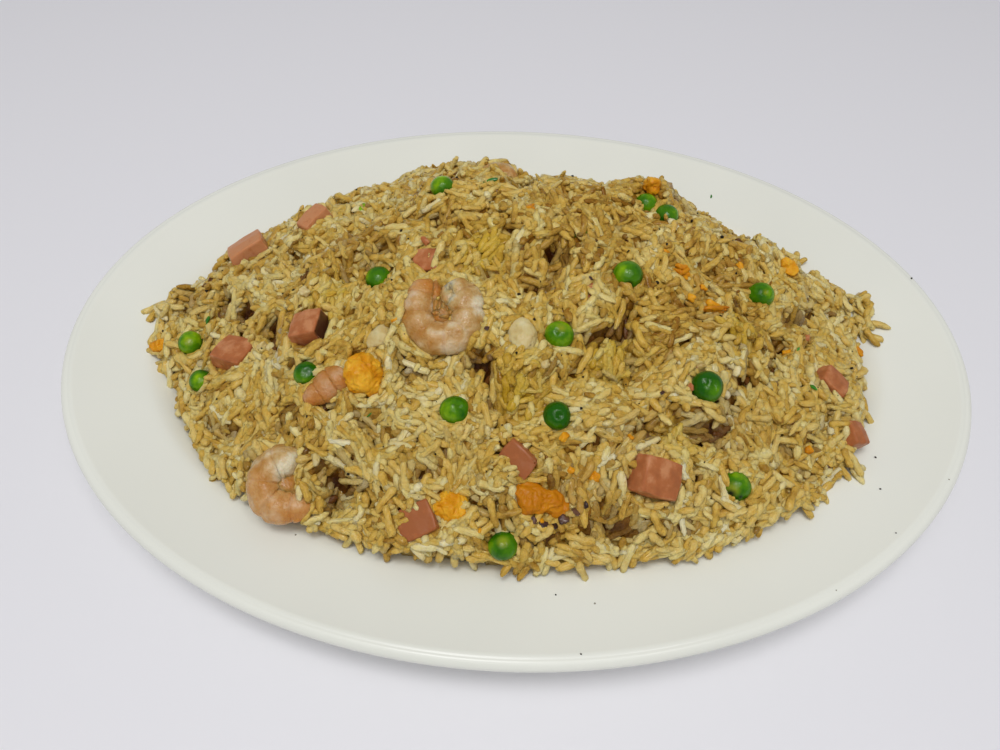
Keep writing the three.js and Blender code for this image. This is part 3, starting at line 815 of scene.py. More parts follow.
# where egg yolk or hot soy has coloured the rice: x, y and radius in mm
stains = {
    "yolk": [(26.7, -28.9, 8), (-11.6, 2.3, 7), (0.3, -42, 7), (66.7, -18.1, 6), (-59.1, -9.7, 6),
             (46, -52, 5)],
    "scorch": [(31.6, -54.3, 6), (19.7, -68.4, 8), (-112.3, 4.7, 7), (66.5, -46.8, 6), (-54.9, 10.7, 7),
               (56, -12, 7), (-86, 12, 6), (70, 6, 6)],
}


def stainAt(kind, x, y):
    value = np.zeros(np.shape(x))
    for spotX, spotY, radius in stains[kind]:
        away = np.hypot(x - spotX * mm, y - spotY * mm) / (radius * mm)
        value = np.maximum(value, np.exp(-away ** 2))
    return value


report(len(grains["x"]), "grains in all")

# grain forms: one outline, bent, blunted and dented in different ways
grainForms = [
    {"bend": 0.00, "tips": (5.5, 9.0), "belly": 0.0, "dent": 0.12},
    {"bend": 0.09, "tips": (4.6, 10.0), "belly": 0.12, "dent": 0.16},
    {"bend": -0.08, "tips": (8.0, 5.0), "belly": -0.1, "dent": 0.14},
    {"bend": 0.10, "tips": (6.0, 14.0), "belly": 0.05, "dent": 0.18},
    {"bend": -0.04, "tips": (4.0, 5.6), "belly": 0.2, "dent": 0.14},
    {"bend": 0.05, "tips": (9.0, 16.0), "belly": -0.18, "dent": 0.2},
    {"bend": -0.12, "tips": (4.8, 8.0), "belly": 0.08, "dent": 0.22},
]


def grainMesh(form, name, seed):
    # one grain, a unit long and a unit wide: six sides and six rings between two tips
    rng = np.random.default_rng(seed)
    sides = 6
    stations = (-0.94, -0.74, -0.28, 0.28, 0.74, 0.94)
    vertices = [(-0.5, 0, 0)]
    for i, s in enumerate(stations):
        power = form["tips"][s > 0]
        half = 0.5 * (1 - abs(s) ** power) ** 0.5 * (1 + form["belly"] * s)
        half *= 1 + rng.uniform(-1, 1) * form["dent"] * 0.6
        for k in range(sides):
            a = 2 * math.pi * (k + 0.5 * (i % 2)) / sides
            own = half * (1 + rng.uniform(-1, 1) * form["dent"])
            vertices.append((0.5 * s, own * math.cos(a) + form["bend"] * (1 - s * s) * 2, own * math.sin(a)))
    last = len(vertices)
    vertices.append((0.5, 0, 0))
    faces = []
    for k in range(sides):
        after = (k + 1) % sides
        faces.append((0, 1 + after, 1 + k))
        for i in range(len(stations) - 1):
            a = 1 + i * sides
            b = a + sides
            faces.append((a + k, a + after, b + after, b + k))
        faces.append((last - sides + k, last - sides + after, last))
    piece = newPiece(name, vertices, faces)
    faceOutward(piece.data)
    # the ridges' noise is stretched along the grain
    addAttribute(piece.data, "fibre", vertexArray(piece.data) * (1.6, 4.5, 4.5), "FLOAT_VECTOR")
    return piece


def hiddenCollection(name, pieces):
    # shapes that geometry nodes pick from; they aren't in the scene themselves
    shapes = bpy.data.collections.new(name)
    for piece in pieces:
        scene.collection.objects.unlink(piece)
        shapes.objects.link(piece)
    return shapes


def scatterTree(name):
    # stands a shape on each point, turned and sized by the point's own attributes
    tree = bpy.data.node_groups.new(name, "GeometryNodeTree")
    for socket, kind in (("Geometry", "Geometry"), ("Shapes", "Collection"), ("Finish", "Material")):
        tree.interface.new_socket(socket, in_out="INPUT", socket_type="NodeSocket" + kind)
    tree.interface.new_socket("Size", in_out="INPUT", socket_type="NodeSocketFloat").default_value = 1.0
    tree.interface.new_socket("Geometry", in_out="OUTPUT", socket_type="NodeSocketGeometry")
    given = addNode(tree, "NodeGroupInput")
    turn, stretch, form = (
        addNode(tree, "GeometryNodeInputNamedAttribute", {"Name": column}, data_type=kind)
        for column, kind in (("turn", "FLOAT_VECTOR"), ("stretch", "FLOAT_VECTOR"), ("form", "INT")))
    shapes = addNode(tree, "GeometryNodeCollectionInfo",
                     {"Collection": given.outputs["Shapes"], "Separate Children": True,
                      "Reset Children": True})
    sized = addNode(tree, "ShaderNodeVectorMath", {0: stretch.outputs[0], 3: given.outputs["Size"]},
                    operation="SCALE")
    stood = addNode(tree, "GeometryNodeInstanceOnPoints",
                    {"Points": given.outputs["Geometry"], "Instance": shapes.outputs[0],
                     "Pick Instance": True, "Instance Index": form.outputs[0],
                     "Rotation": turn.outputs[0], "Scale": sized.outputs[0]})
    real = addNode(tree, "GeometryNodeRealizeInstances", {"Geometry": stood.outputs[0]})
    smooth = addNode(tree, "GeometryNodeSetShadeSmooth", {"Geometry": real.outputs[0]})
    finish = addNode(tree, "GeometryNodeSetMaterial",
                     {"Geometry": smooth.outputs[0], "Material": given.outputs["Finish"]})
    addNode(tree, "NodeGroupOutput", {"Geometry": finish.outputs[0]})
    return tree


scatter = scatterTree("scatterOnPoints")


def scatterPiece(name, places, turns, stretches, forms, shapes, material, **extra):
    # points with their attributes, then the shapes on them as one plain mesh
    piece = newPiece(name, np.asarray(places).tolist(), [], smooth=False)
    addAttribute(piece.data, "turn", turns, "FLOAT_VECTOR")
    addAttribute(piece.data, "stretch", stretches, "FLOAT_VECTOR")
    addAttribute(piece.data, "form", np.asarray(forms, dtype=np.int32), "INT")
    for key, values in extra.items():
        addAttribute(piece.data, key, values)
    modifier = piece.modifiers.new("scatter", "NODES")
    modifier.node_group = scatter
    sockets = {item.name: item.identifier for item in scatter.interface.items_tree if item.in_out == "INPUT"}
    modifier[sockets["Shapes"]] = shapes
    modifier[sockets["Finish"]] = material
    bakeModifiers(piece)
    return piece


riceLook = {
    # the tones that these colours stand for
    "palest": (0.08, "#F5E8BA"), "pale": (0.34, "#ECD78C"),
    "oiled": (0.64, "#DCB450"), "brownest": (0.92, "#94640F"),
    "yolk": "#D6B222", "yolkShare": 0.75,
    "scorch": "#94601E", "scorchShare": 0.6,
    # deeper under the crowns the colour is multiplied darker: soy sauce that gathers there, and painted shade
    # of the crevices
    "soyAndShade": "#6E4206", "soyAndShadeShare": 0.95,
    "soyAndShadeFrom": 1.4 * mm, "soyAndShadeTo": 4.4 * mm,  # depth under the heap's crowns
    "mottle": 5.26 * mm, "ridge": 0.909 * mm, "relief": 0.65 * mm,
    "finish": {"Roughness": 0.3, "IOR": 1.4, "Specular IOR Level": 0.22, "Subsurface Weight": 0.34,
               "Subsurface Radius": (1.0, 0.86, 0.5), "Subsurface Scale": 1.0 * mm,
               "Coat Weight": 0.22, "Coat Roughness": 0.1},
}


def cookedRice(look):
    # long grain rice, boiled then stir-fried: a milky gel that light goes into, wet with oil and soy sauce
    material, tree, surface, place = newMaterial("friedLongGrainRice", look["finish"])
    tone, depth, yolk, scorch, fibre = (addNode(tree, "ShaderNodeAttribute", attribute_name=column)
                                        for column in ("tone", "depth", "yolk", "scorch", "fibre"))
    # the colour runs on from grain to grain in patches a few grains wide, as they stick together
    mottle = addNode(tree, "ShaderNodeTexNoise",
                     {"Vector": place, "Scale": 1 / look["mottle"], "Detail": 6.0, "Roughness": 0.7})
    shift = addNode(tree, "ShaderNodeMapRange", {"Value": mottle.outputs["Fac"], "From Min": 0.25,
                                                 "From Max": 0.75, "To Min": -0.2, "To Max": 0.2})
    shifted = addNode(tree, "ShaderNodeMath", {0: tone.outputs["Fac"], 1: shift.outputs[0]}, operation="ADD")
    body = addNode(tree, "ShaderNodeValToRGB", {"Fac": shifted.outputs[0]},
                   stops=[look["palest"], look["brownest"], look["pale"], look["oiled"]])
    yellow = addNode(tree, "ShaderNodeMath", {0: yolk.outputs["Fac"], 1: look["yolkShare"]},
                     operation="MULTIPLY")
    yolked = addNode(tree, "ShaderNodeMix", {"Factor": yellow.outputs[0], 6: body.outputs["Color"],
                                             7: linearColor(look["yolk"])}, data_type="RGBA")
    brown = addNode(tree, "ShaderNodeMath", {0: scorch.outputs["Fac"], 1: look["scorchShare"]},
                    operation="MULTIPLY")
    brownedAndShaded = addNode(tree, "ShaderNodeMix", {"Factor": brown.outputs[0], 6: yolked.outputs[2],
                                              7: linearColor(look["scorch"])}, data_type="RGBA")
    # oil and soy sauce gather between the clumps, and the same darkening deep under the crowns is painted
    # shade of the crevices
    soy = addNode(tree, "ShaderNodeMapRange",
                  {"Value": depth.outputs["Fac"], "To Min": 0.0, "To Max": look["soyAndShadeShare"],
                   "From Min": look["soyAndShadeFrom"], "From Max": look["soyAndShadeTo"]})
    sunk = addNode(tree, "ShaderNodeMix", {"Factor": soy.outputs[0], 6: brownedAndShaded.outputs[2],
                                           7: linearColor(look["soyAndShade"])},
                   data_type="RGBA", blend_type="MULTIPLY")
    # ridges run along each grain, and differ from one to the next
    apart = addNode(tree, "ShaderNodeMath", {0: tone.outputs["Fac"], 1: 60.0}, operation="MULTIPLY")
    own = addNode(tree, "ShaderNodeVectorMath", {0: fibre.outputs["Vector"], 1: apart.outputs[0]})
    streaks = addNode(tree, "ShaderNodeTexNoise",
                      {"Vector": own.outputs[0], "Scale": 1.0, "Detail": 3.0, "Roughness": 0.6})
    ridges = addNode(tree, "ShaderNodeTexNoise", {"Vector": place, "Scale": 1 / look["ridge"], "Detail": 3.0})
    height = addNode(tree, "ShaderNodeMath", {0: streaks.outputs["Fac"], 1: ridges.outputs["Fac"]},
                     operation="ADD")
    bump = addNode(tree, "ShaderNodeBump",
                   {"Height": height.outputs[0], "Strength": 1.0, "Distance": look["relief"]})
    tree.links.new(sunk.outputs[2], surface.inputs["Base Color"])
    tree.links.new(bump.outputs["Normal"], surface.inputs["Normal"])
    return material


riceFinish = cookedRice(riceLook)
riceShapes = hiddenCollection("riceShapes",
                              [grainMesh(form, f"grainForm{i}", 50 + i) for i, form in enumerate(grainForms)])


def makeGrains():
    rng = np.random.default_rng(21)
    order = np.argsort(grains["x"])  # from left to right, so that neighbours share a piece
    names = ["riceLeft", "riceLeftMiddle", "riceMiddle", "riceRightMiddle", "riceRight"]
    for name, part in zip(names, np.array_split(order, len(names))):
        own = {column: values[part] for column, values in grains.items()}
        x, y, width, count = own["x"], own["y"], own["width"], len(part)
        forms = rng.integers(0, len(grainForms), count)
        piece = scatterPiece(name, np.stack([x, y, own["z"]], 1),
                             np.stack([own["roll"], own["pitch"], own["turn"]], 1),
                             np.stack([own["length"], width, width * heap["flatness"]], 1),
                             forms, riceShapes, riceFinish, tone=own["tone"], depth=own["depth"],
                             yolk=stainAt("yolk", x, y) * rng.uniform(0.3, 1, count),
                             scorch=stainAt("scorch", x, y) * rng.uniform(0, 1, count))
        if name == "riceLeft":
            fit(piece, "rice")
        else:
            addTo(piece)
        report(name, "made of", count, "grains and", len(faceArray(piece.data)), "triangles")


makeGrains()


def makeCore():
    # what fills the heap under the loose grains: grains pressed together, so their relief only
    spacing = 0.62 * mm
    xs = np.arange(plateLow.x, plateHigh.x, spacing)
    ys = np.arange(plateLow.y, plateHigh.y, spacing)
    gridX, gridY = np.meshgrid(xs, ys, indexing="ij")
    fine = 0.15 * mm * smoothNoise(gridX, gridY, 1.6 * mm, 41)
    crown = between(fusedLevel, gridX, gridY) + fine
    covered = toppingTop[cellAt(gridX, gridY)]
    crown = np.where(covered > 0, np.minimum(crown, covered - heap["underTopping"]), crown)
    ground = underlay[cellAt(gridX, gridY)]
    # the top is a grid of squares wherever the rice is thick enough
    solid = coreZone[cellAt(gridX, gridY)] & (crown > ground + 0.25 * mm)
    quads = solid[:-1, :-1] & solid[1:, :-1] & solid[:-1, 1:] & solid[1:, 1:]
    used = np.zeros(solid.shape, bool)
    for di in (0, 1):
        for dj in (0, 1):
            used[di:di + quads.shape[0], dj:dj + quads.shape[1]] |= quads
    number = np.full(solid.shape, -1)
    number[used] = np.arange(used.sum())
    count = int(used.sum())
    top = np.stack([gridX[used], gridY[used], np.maximum(crown[used], ground[used] + 0.2 * mm)], 1)
    bottom = np.stack([gridX[used], gridY[used], ground[used] + 0.05 * mm], 1)
    i, j = np.nonzero(quads)
    corners = np.stack([number[i, j], number[i + 1, j], number[i + 1, j + 1], number[i, j + 1]], 1)
    # an edge that only one square has lies on the border: a wall goes down from there, and a fan closes it
    edges = {}
    for quad in corners.tolist():
        for a, b in zip(quad, quad[1:] + quad[:1]):
            if (b, a) in edges:
                del edges[(b, a)]
            else:
                edges[(a, b)] = True
    rim = {}
    vertices = top.tolist()
    for a, b in edges:
        for k in (a, b):
            if k not in rim:
                rim[k] = len(vertices)
                vertices.append(bottom[k].tolist())
    middle = len(vertices)
    vertices.append([0, 0, platter["floorHeight"] + 0.3 * mm])
    faces = corners.tolist()
    for a, b in edges:
        faces.append([b, a, rim[a], rim[b]])
        faces.append([rim[b], rim[a], middle])
    piece = newPiece("riceCore", vertices, faces, riceFinish)
    cells = cellAt(gridX[used], gridY[used])
    # each look's values over the top, and the one value that the wall and the bottom have
    looks = {"depth": (np.maximum(0, crownSheet[cells] - top[:, 2]) * inward[cells], 0.0),
             # the core is browner than the grains over it as painted shade, less so at the heap's edge
             "tone": (fusedTone[cells] + heap["coreShadeTone"] * inward[cells], 0.55)}
    for kind in stains:
        looks[kind] = (stainAt(kind, gridX[used], gridY[used]) * 0.6, 0.0)
    for name, (values, plain) in looks.items():
        addAttribute(piece.data, name, np.r_[values, np.full(len(vertices) - count, plain)])
    addTo(piece)
    report("core made of", len(faceArray(piece.data)), "triangles")


makeCore()

# the toppings are finer copies of their nodes. The diner looks down at them at 54 degrees
towardDiner = Vector((0, -0.59, 0.807))
upForDiner = Vector((0, 0.807, 0.59))
rightForDiner = Vector((1, 0, 0))


def lumpNoise(points, size, seed):
    # repeatable noise in space from -1 to 1, about one lump for each size; points is an array of places
    count = 24
    lattice = np.random.default_rng(seed).uniform(-1, 1, (count, count, count))
    u = points / size + 1000
    low = np.floor(u).astype(int)
    f = u - low
    f = f * f * (3 - 2 * f)
    total = np.zeros(len(points))
    for corner in range(8):
        offset = np.array([(corner >> k) & 1 for k in range(3)])
        at = (low + offset) % count
        share = np.where(offset, f, 1 - f).prod(1)
        total += lattice[at[:, 0], at[:, 1], at[:, 2]] * share
    return total


def normalArray(mesh):
    normals = np.empty(len(mesh.vertices) * 3)
    mesh.vertices.foreach_get("normal", normals)
    return normals.reshape(-1, 3)


def pushOut(piece, layers, seed):
    # moves each vertex along its normal: (lump size, height, sharpness); sharp layers make folds
    mesh = piece.data
    for k, (size, height, sharp) in enumerate(layers):
        points, normals = vertexArray(mesh), normalArray(mesh)
        value = lumpNoise(points, size, seed * 10 + k)
        if sharp:
            value = 1 - 2 * np.abs(value) ** sharp
        movePoints(piece, points + normals * (value * height)[:, None])


def eyeSide(u, v):
    # direction of a spot on a round thing: u to the right and v up, in radii, as the diner sees it
    depth = math.sqrt(max(0, 1 - u * u - v * v))
    return np.array(u * rightForDiner + v * upForDiner + depth * towardDiner)


def spotValue(directions, spots):
    # 1 in the middle of each spot (u, v, radius) and 0 outside it
    value = np.zeros(len(directions))
    for u, v, radius in spots:
        away = np.linalg.norm(directions - eyeSide(u, v), axis=1)
        value = np.maximum(value, np.clip(1.4 - 1.4 * away / radius, 0, 1))
    return value


def boxMiddle(points):
    return (points.max(0) + points.min(0)) / 2


def directionsOf(points):
    away = points - boxMiddle(points)
    return away / np.maximum(np.linalg.norm(away, axis=1), 1e-9)[:, None]


def moistFood(name, look):
    # Food with a wet surface over a soft body. Its colour runs with noise from light to dark; the mark and
    # burn attributes bring in browned and darkest places. mottle and grain are sizes of lumps in the noise
    finish = {"Roughness": look["roughness"], "IOR": look["ior"], "Specular IOR Level": look["shine"],
              "Subsurface Weight": look["soft"], "Subsurface Radius": look["bleed"],
              "Subsurface Scale": look["depth"], "Coat Weight": look["wet"], "Coat Roughness": 0.12}
    material, tree, surface, place = newMaterial(name, finish)
    tone, mark, burn = (addNode(tree, "ShaderNodeAttribute", attribute_name=column)
                        for column in ("tone", "mark", "burn"))
    mottle = addNode(tree, "ShaderNodeTexNoise",
                     {"Vector": place, "Scale": 1 / look["mottle"], "Detail": 4.0})
    shifted = addNode(tree, "ShaderNodeMath", {0: mottle.outputs["Fac"], 1: tone.outputs["Fac"]},
                      operation="ADD")
    body = addNode(tree, "ShaderNodeValToRGB", {"Fac": shifted.outputs[0]},
                   stops=[(0.32, look["light"]), (0.68, look["dark"]), (0.5, look["body"])])
    marked = addNode(tree, "ShaderNodeMix", {"Factor": mark.outputs["Fac"], 6: body.outputs["Color"],
                                             7: linearColor(look["mark"])}, data_type="RGBA")
    burnt = addNode(tree, "ShaderNodeMix", {"Factor": burn.outputs["Fac"], 6: marked.outputs[2],
                                            7: linearColor(look["burn"])}, data_type="RGBA")
    grain = addNode(tree, "ShaderNodeTexNoise", {"Vector": place, "Scale": 1 / look["grain"], "Detail": 3.0})
    bump = addNode(tree, "ShaderNodeBump", {"Height": grain.outputs["Fac"], "Strength": look["rough"],
                                            "Distance": look["relief"]})
    tree.links.new(burnt.outputs[2], surface.inputs["Base Color"])
    tree.links.new(bump.outputs["Normal"], surface.inputs["Normal"])
    return material


def dress(piece, material, tone=0.0, mark=0.0, burn=0.0):
    # each of the three looks is one value or an array with one for each vertex
    mesh = piece.data
    mesh.materials.clear()
    mesh.materials.append(material)
    mesh.polygons.foreach_set("use_smooth", [True] * len(mesh.polygons))
    for name, values in (("tone", tone), ("mark", mark), ("burn", burn)):
        addAttribute(mesh, name, np.broadcast_to(values, len(mesh.vertices)))


def refine(nodeName, levels, bevel=0.0):
    # a finer copy of a node, back to the node's own size after rounding
    piece = mergedCopy(nodeName, nodeName + "_food")
    before = vertexArray(piece.data)
    if bevel:
        edge = piece.modifiers.new("edges", "BEVEL")
        edge.width = bevel
        edge.segments = 2
        edge.angle_limit = math.radians(28)
    fine = piece.modifiers.new("finer", "SUBSURF")
    fine.levels = fine.render_levels = levels
    if bevel:
        fine.subdivision_type = "SIMPLE"
    bakeModifiers(piece)
    points = vertexArray(piece.data)
    grow = np.ptp(before, axis=0) / np.ptp(points, axis=0)
    movePoints(piece, (points - boxMiddle(points)) * grow + boxMiddle(before))
    return piece


def roundForm(detail=4):
    # the vertices and faces of a ball with a radius of one
    shell = bmesh.new()
    bmesh.ops.create_icosphere(shell, subdivisions=detail, radius=1)
    points = np.array([vertex.co for vertex in shell.verts])
    faces = [[vertex.index for vertex in face.verts] for face in shell.faces]
    shell.free()
    return points, faces


def ball(name, middle, half, detail=4):
    points, faces = roundForm(detail)
    return newPiece(name, (np.array(middle) + points * np.array(half)).tolist(), faces)


peaLook = {
    "light": "#90B80A", "body": "#4C8202", "dark": "#1E5C00", "mark": "#A8AC28", "burn": "#14180A",
    "mottle": 6.67 * mm, "grain": 1.11 * mm, "rough": 0.5, "relief": 0.3 * mm, "shine": 0.5,
    "roughness": 0.13, "ior": 1.33, "soft": 0.35, "bleed": (0.5, 1.0, 0.1), "depth": 1.2 * mm, "wet": 0.0,
}
# tone shifts a pea between light and dark; dents, marks and burns are spots (u, v, radius) on the side
# towards the diner
peaDetails = {
    "pea_1": {"tone": -0.12, "mark": [(0.2, 0.1, 0.5)]},
    "pea_3": {"tone": 0.1, "burn": [(-0.1, -0.85, 0.5)], "dent": [(0.2, 0.2, 0.6)]},
    "pea_7": {"tone": 0.0, "burn": [(0.0, -0.7, 0.3)], "dent": [(0.0, -0.7, 0.45)]},
    "pea_8": {"tone": -0.05, "mark": [(0.1, 0.5, 0.45)], "dent": [(0.1, 0.5, 0.35), (-0.2, 0.25, 0.3)]},
    "pea_9": {"tone": 0.04, "burn": [(0.0, 0.42, 0.1)], "dent": [(0.35, 0.3, 0.4)]},
    "pea_10": {"tone": 0.14, "dent": [(0.1, 0.1, 0.5)]},
    "pea_12": {"tone": 0.02, "mark": [(0.0, 0.5, 0.55)]},
    "pea_13": {"tone": 0.05},
    "pea_15": {"tone": 0.0, "mark": [(0.1, 0.15, 0.3)], "dent": [(0.1, 0.15, 0.4)]},
    "pea_16": {"tone": 0.18, "dent": [(0.2, 0.1, 0.5), (-0.3, 0.3, 0.4)]},
    "pea_17": {"tone": 0.04, "mark": [(-0.45, -0.1, 0.6)], "burn": [(-0.5, -0.35, 0.38), (0.1, -0.55, 0.2)]},
}


def makePeas():
    # boiled and tossed in oil: taut green skin over a soft body that glows where the light goes in
    material = moistFood("boiledPeaSkin", peaLook)
    for k, nodeName in enumerate(nodesOf("pea")):
        low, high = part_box(nodeName)
        detail = peaDetails.get(nodeName, {"tone": 0.05 * math.sin(k * 2.4)})
        piece = ball(nodeName + "_food", (low + high) / 2, (high - low) / 2 * 1.03)
        points = vertexArray(piece.data)
        directions = directionsOf(points)
        dent = spotValue(directions, detail.get("dent", []))
        crease = lumpNoise(points, 1.3 * mm, 300 + k) * 0.2 * mm
        away = directions * (-0.55 * mm * dent ** 2 + crease * (0.2 + dent))[:, None]
        piece.data.vertices.foreach_set("co", (points + away).ravel())
        pushOut(piece, [(3.2 * mm, 0.16 * mm, 0)], 400 + k)
        dress(piece, material, detail["tone"], spotValue(directions, detail.get("mark", [])) * 0.6,
              spotValue(directions, detail.get("burn", [])))
        fit(piece, nodeName)


makePeas()
report("peas made")

# ham's burn colour is used only as painted shade, on the shaded faces of ham_4
hamLook = {
    "light": "#C88A5E", "body": "#B46E42", "dark": "#A6643C", "mark": "#8E4E22", "burn": "#3A1C12",
    "mottle": 3.125 * mm, "grain": 1.43 * mm, "rough": 0.35, "relief": 0.3 * mm, "shine": 0.25,
    "roughness": 0.3, "ior": 1.36, "soft": 0.4, "bleed": (1.0, 0.6, 0.4), "depth": 1.4 * mm, "wet": 0.05,
}
hamTones = {"ham_1": -0.25, "ham_2": -0.2, "ham_5": 0.25, "ham_7": 0.25}
# dice that lie more askew than their nodes: degrees about the diner's upward and rightward directions
hamTurns = {"ham_1": (0, 14), "ham_3": (16, -10), "ham_4": (-28, -20), "ham_5": (-20, 24),
            "ham_7": (-14, -12)}


def turnPiece(piece, aboutUp, aboutRight):
    turn = Matrix.Rotation(math.radians(aboutUp), 3, upForDiner)
    turn = turn @ Matrix.Rotation(math.radians(aboutRight), 3, rightForDiner)
    points = vertexArray(piece.data)
    middle = boxMiddle(points)
    movePoints(piece, (points - middle) @ np.array(turn).T + middle)


def makeHam():
    # cured ham cut in dice and fried: smooth pink cut faces, browner along the edges
    material = moistFood("friedCuredHam", hamLook)
    for k, nodeName in enumerate(nodesOf("ham")):
        piece = refine(nodeName, 3, bevel=0.45 * mm)
        turnPiece(piece, *hamTurns.get(nodeName, (0, 0)))
        pushOut(piece, [(7 * mm, 0.3 * mm, 0), (2.0 * mm, 0.1 * mm, 0)], 500 + k)
        points, normals = vertexArray(piece.data), normalArray(piece.data)
        away = np.linalg.norm(points - points.mean(0), axis=1)
        edge = np.clip((away / np.percentile(away, 60) - 1.05) * 3, 0, 0.8)
        edge *= 0.6 + 0.4 * lumpNoise(points, 2 * mm, 520 + k)
        dark = 0.0
        if nodeName == "ham_4":
            # painted shade: the faces that turn right and down are darkened with the burn colour
            dark = np.clip(normals @ np.array([0.85, -0.36, -0.27]) * 4 - 1.8, 0, 0.9)
        tone = hamTones.get(nodeName, 0.05 * math.sin(k * 1.9)) + 0.08 * lumpNoise(points, 3 * mm, 540 + k)
        dress(piece, material, tone, edge, dark)
        fit(piece, nodeName)


makeHam()
report("ham made")

shrimpLook = {
    "light": "#DED2B2", "body": "#C8A870", "dark": "#B08440", "mark": "#CC8232", "burn": "#7A3206",
    "mottle": 5.0 * mm, "grain": 0.833 * mm, "rough": 0.8, "relief": 0.6 * mm, "shine": 0.45,
    "roughness": 0.22, "ior": 1.38, "soft": 0.6, "bleed": (1.0, 0.7, 0.5), "depth": 2.4 * mm, "wet": 0.2,
}
# A curled body as the diner sees it, head first. Its path is right, up and half thickness in mm from the
# curl's middle, and rosy says how orange it is along the way. pads fill the curl: place, half size and how
# rosy. The bodies lie a little flatter than the diner looks
curlUp = Vector((0, 0.93, 0.36)).normalized()
curlOut = rightForDiner.cross(curlUp)
curls = {
    "shrimp_1": {
        "middle": (-0.2, 1.0, 0.2),
        "path": [(3.0, 11.4, 2.0), (3.4, 9.4, 3.6), (4.0, 7.0, 4.9), (5.6, 4.0, 5.7), (7.0, 0.4, 5.4),
                 (6.8, -3.6, 5.1), (4.2, -7.0, 5.0), (0.0, -8.2, 4.9), (-4.6, -7.0, 4.8), (-7.2, -3.2, 4.7),
                 (-7.6, 1.4, 4.5), (-7.0, 5.6, 4.2), (-5.8, 8.6, 3.3), (-4.8, 10.6, 1.8)],
        "rosy": (0.0, 0.0, 0.0, 0.0, 0.06, 0.12, 0.2, 0.24, 0.26, 0.28, 0.36, 0.6, 0.9, 1.0),
        "segments": 8,
        "pads": [((-0.4, 0.2, -2.4), (5.4, 5.2, 4.6), 0.9), ((-2.8, 5.4, -0.8), (2.0, 4.6, 3.2), 1.0),
                 ((2.0, 5.2, -0.9), (3.6, 4.8, 4.9), 0.1),
                 ((-2.5, 1.9, 1.2), (0.9, 2.2, 1.3), 0.5), ((-1.3, 1.3, 1.3), (0.9, 2.0, 1.2), 0.7),
                 ((-0.2, 1.2, 1.3), (0.9, 1.7, 1.3), 0.4), ((0.9, 0.4, 1.3), (0.8, 1.7, 1.2), 0.6),
                 ((-2.2, -1.0, 1.3), (1.5, 0.8, 1.2), 0.6), ((0.2, -1.7, 1.2), (1.8, 0.8, 1.2), 0.45),
                 ((2.0, 0.0, 1.4), (0.9, 1.6, 1.2), 0.3)],
    },
    "shrimp_2": {
        "middle": (2.2, -0.6, 0.2),
        "path": [(4.4, 5.2, 4.2), (0.4, 6.0, 5.3), (-3.6, 3.9, 5.6), (-5.0, -0.4, 5.6), (-3.4, -4.4, 5.4),
                 (0.2, -6.2, 5.2), (4.0, -6.4, 4.2), (7.4, -6.4, 2.8), (9.8, -6.8, 1.2)],
        "rosy": (0.0, 0.05, 0.25, 0.45, 0.5, 0.55, 0.65, 0.8, 1.0),
        "segments": 5,
        "pads": [((0.0, -0.4, -1.0), (6.0, 5.2, 4.0), 0.3), ((6.2, -2.8, -0.8), (2.6, 2.8, 2.8), 0.35),
                 ((3.0, -0.8, -2.6), (2.6, 2.4, 2.4), 1.0)],
    },
    "shrimp_3": {
        "middle": (0.4, 0.4, 0.4),
        "path": [(5.0, 4.2, 3.6), (2.8, 1.8, 4.9), (0.2, -0.2, 4.6), (-2.4, -2.2, 3.5), (-4.6, -4.0, 2.2),
                 (-6.2, -4.8, 1.2)],
        "rosy": (0.7, 0.8, 0.85, 0.9, 1.0, 1.0),
        "brownedAndShaded": 0.16,
        "segments": 3,
        "pads": [((2.4, -1.8, -0.8), (3.0, 2.8, 2.8), 0.9)],
    },
}


def curveThrough(points, count):
    # evenly spaced places on a smooth curve through the points, any number of columns
    points = np.array(points, dtype=float)
    padded = np.vstack([2 * points[0] - points[1], points, 2 * points[-1] - points[-2]])
    made = []
    for i in range(len(points) - 1):
        a, b, c, d = padded[i:i + 4]
        t = np.linspace(0, 1, 24, endpoint=False)[:, None]
        made.append(0.5 * (2 * b + (c - a) * t + (2 * a - 5 * b + 4 * c - d) * t ** 2
                           + (3 * b - a - 3 * c + d) * t ** 3))
    made = np.vstack(made + [points[-1:]])
    steps = np.r_[0, np.cumsum(np.linalg.norm(np.diff(made[:, :2], axis=0), axis=1))]
    even = np.linspace(0, steps[-1], count)
    return np.stack([np.interp(even, steps, made[:, k]) for k in range(made.shape[1])], 1)


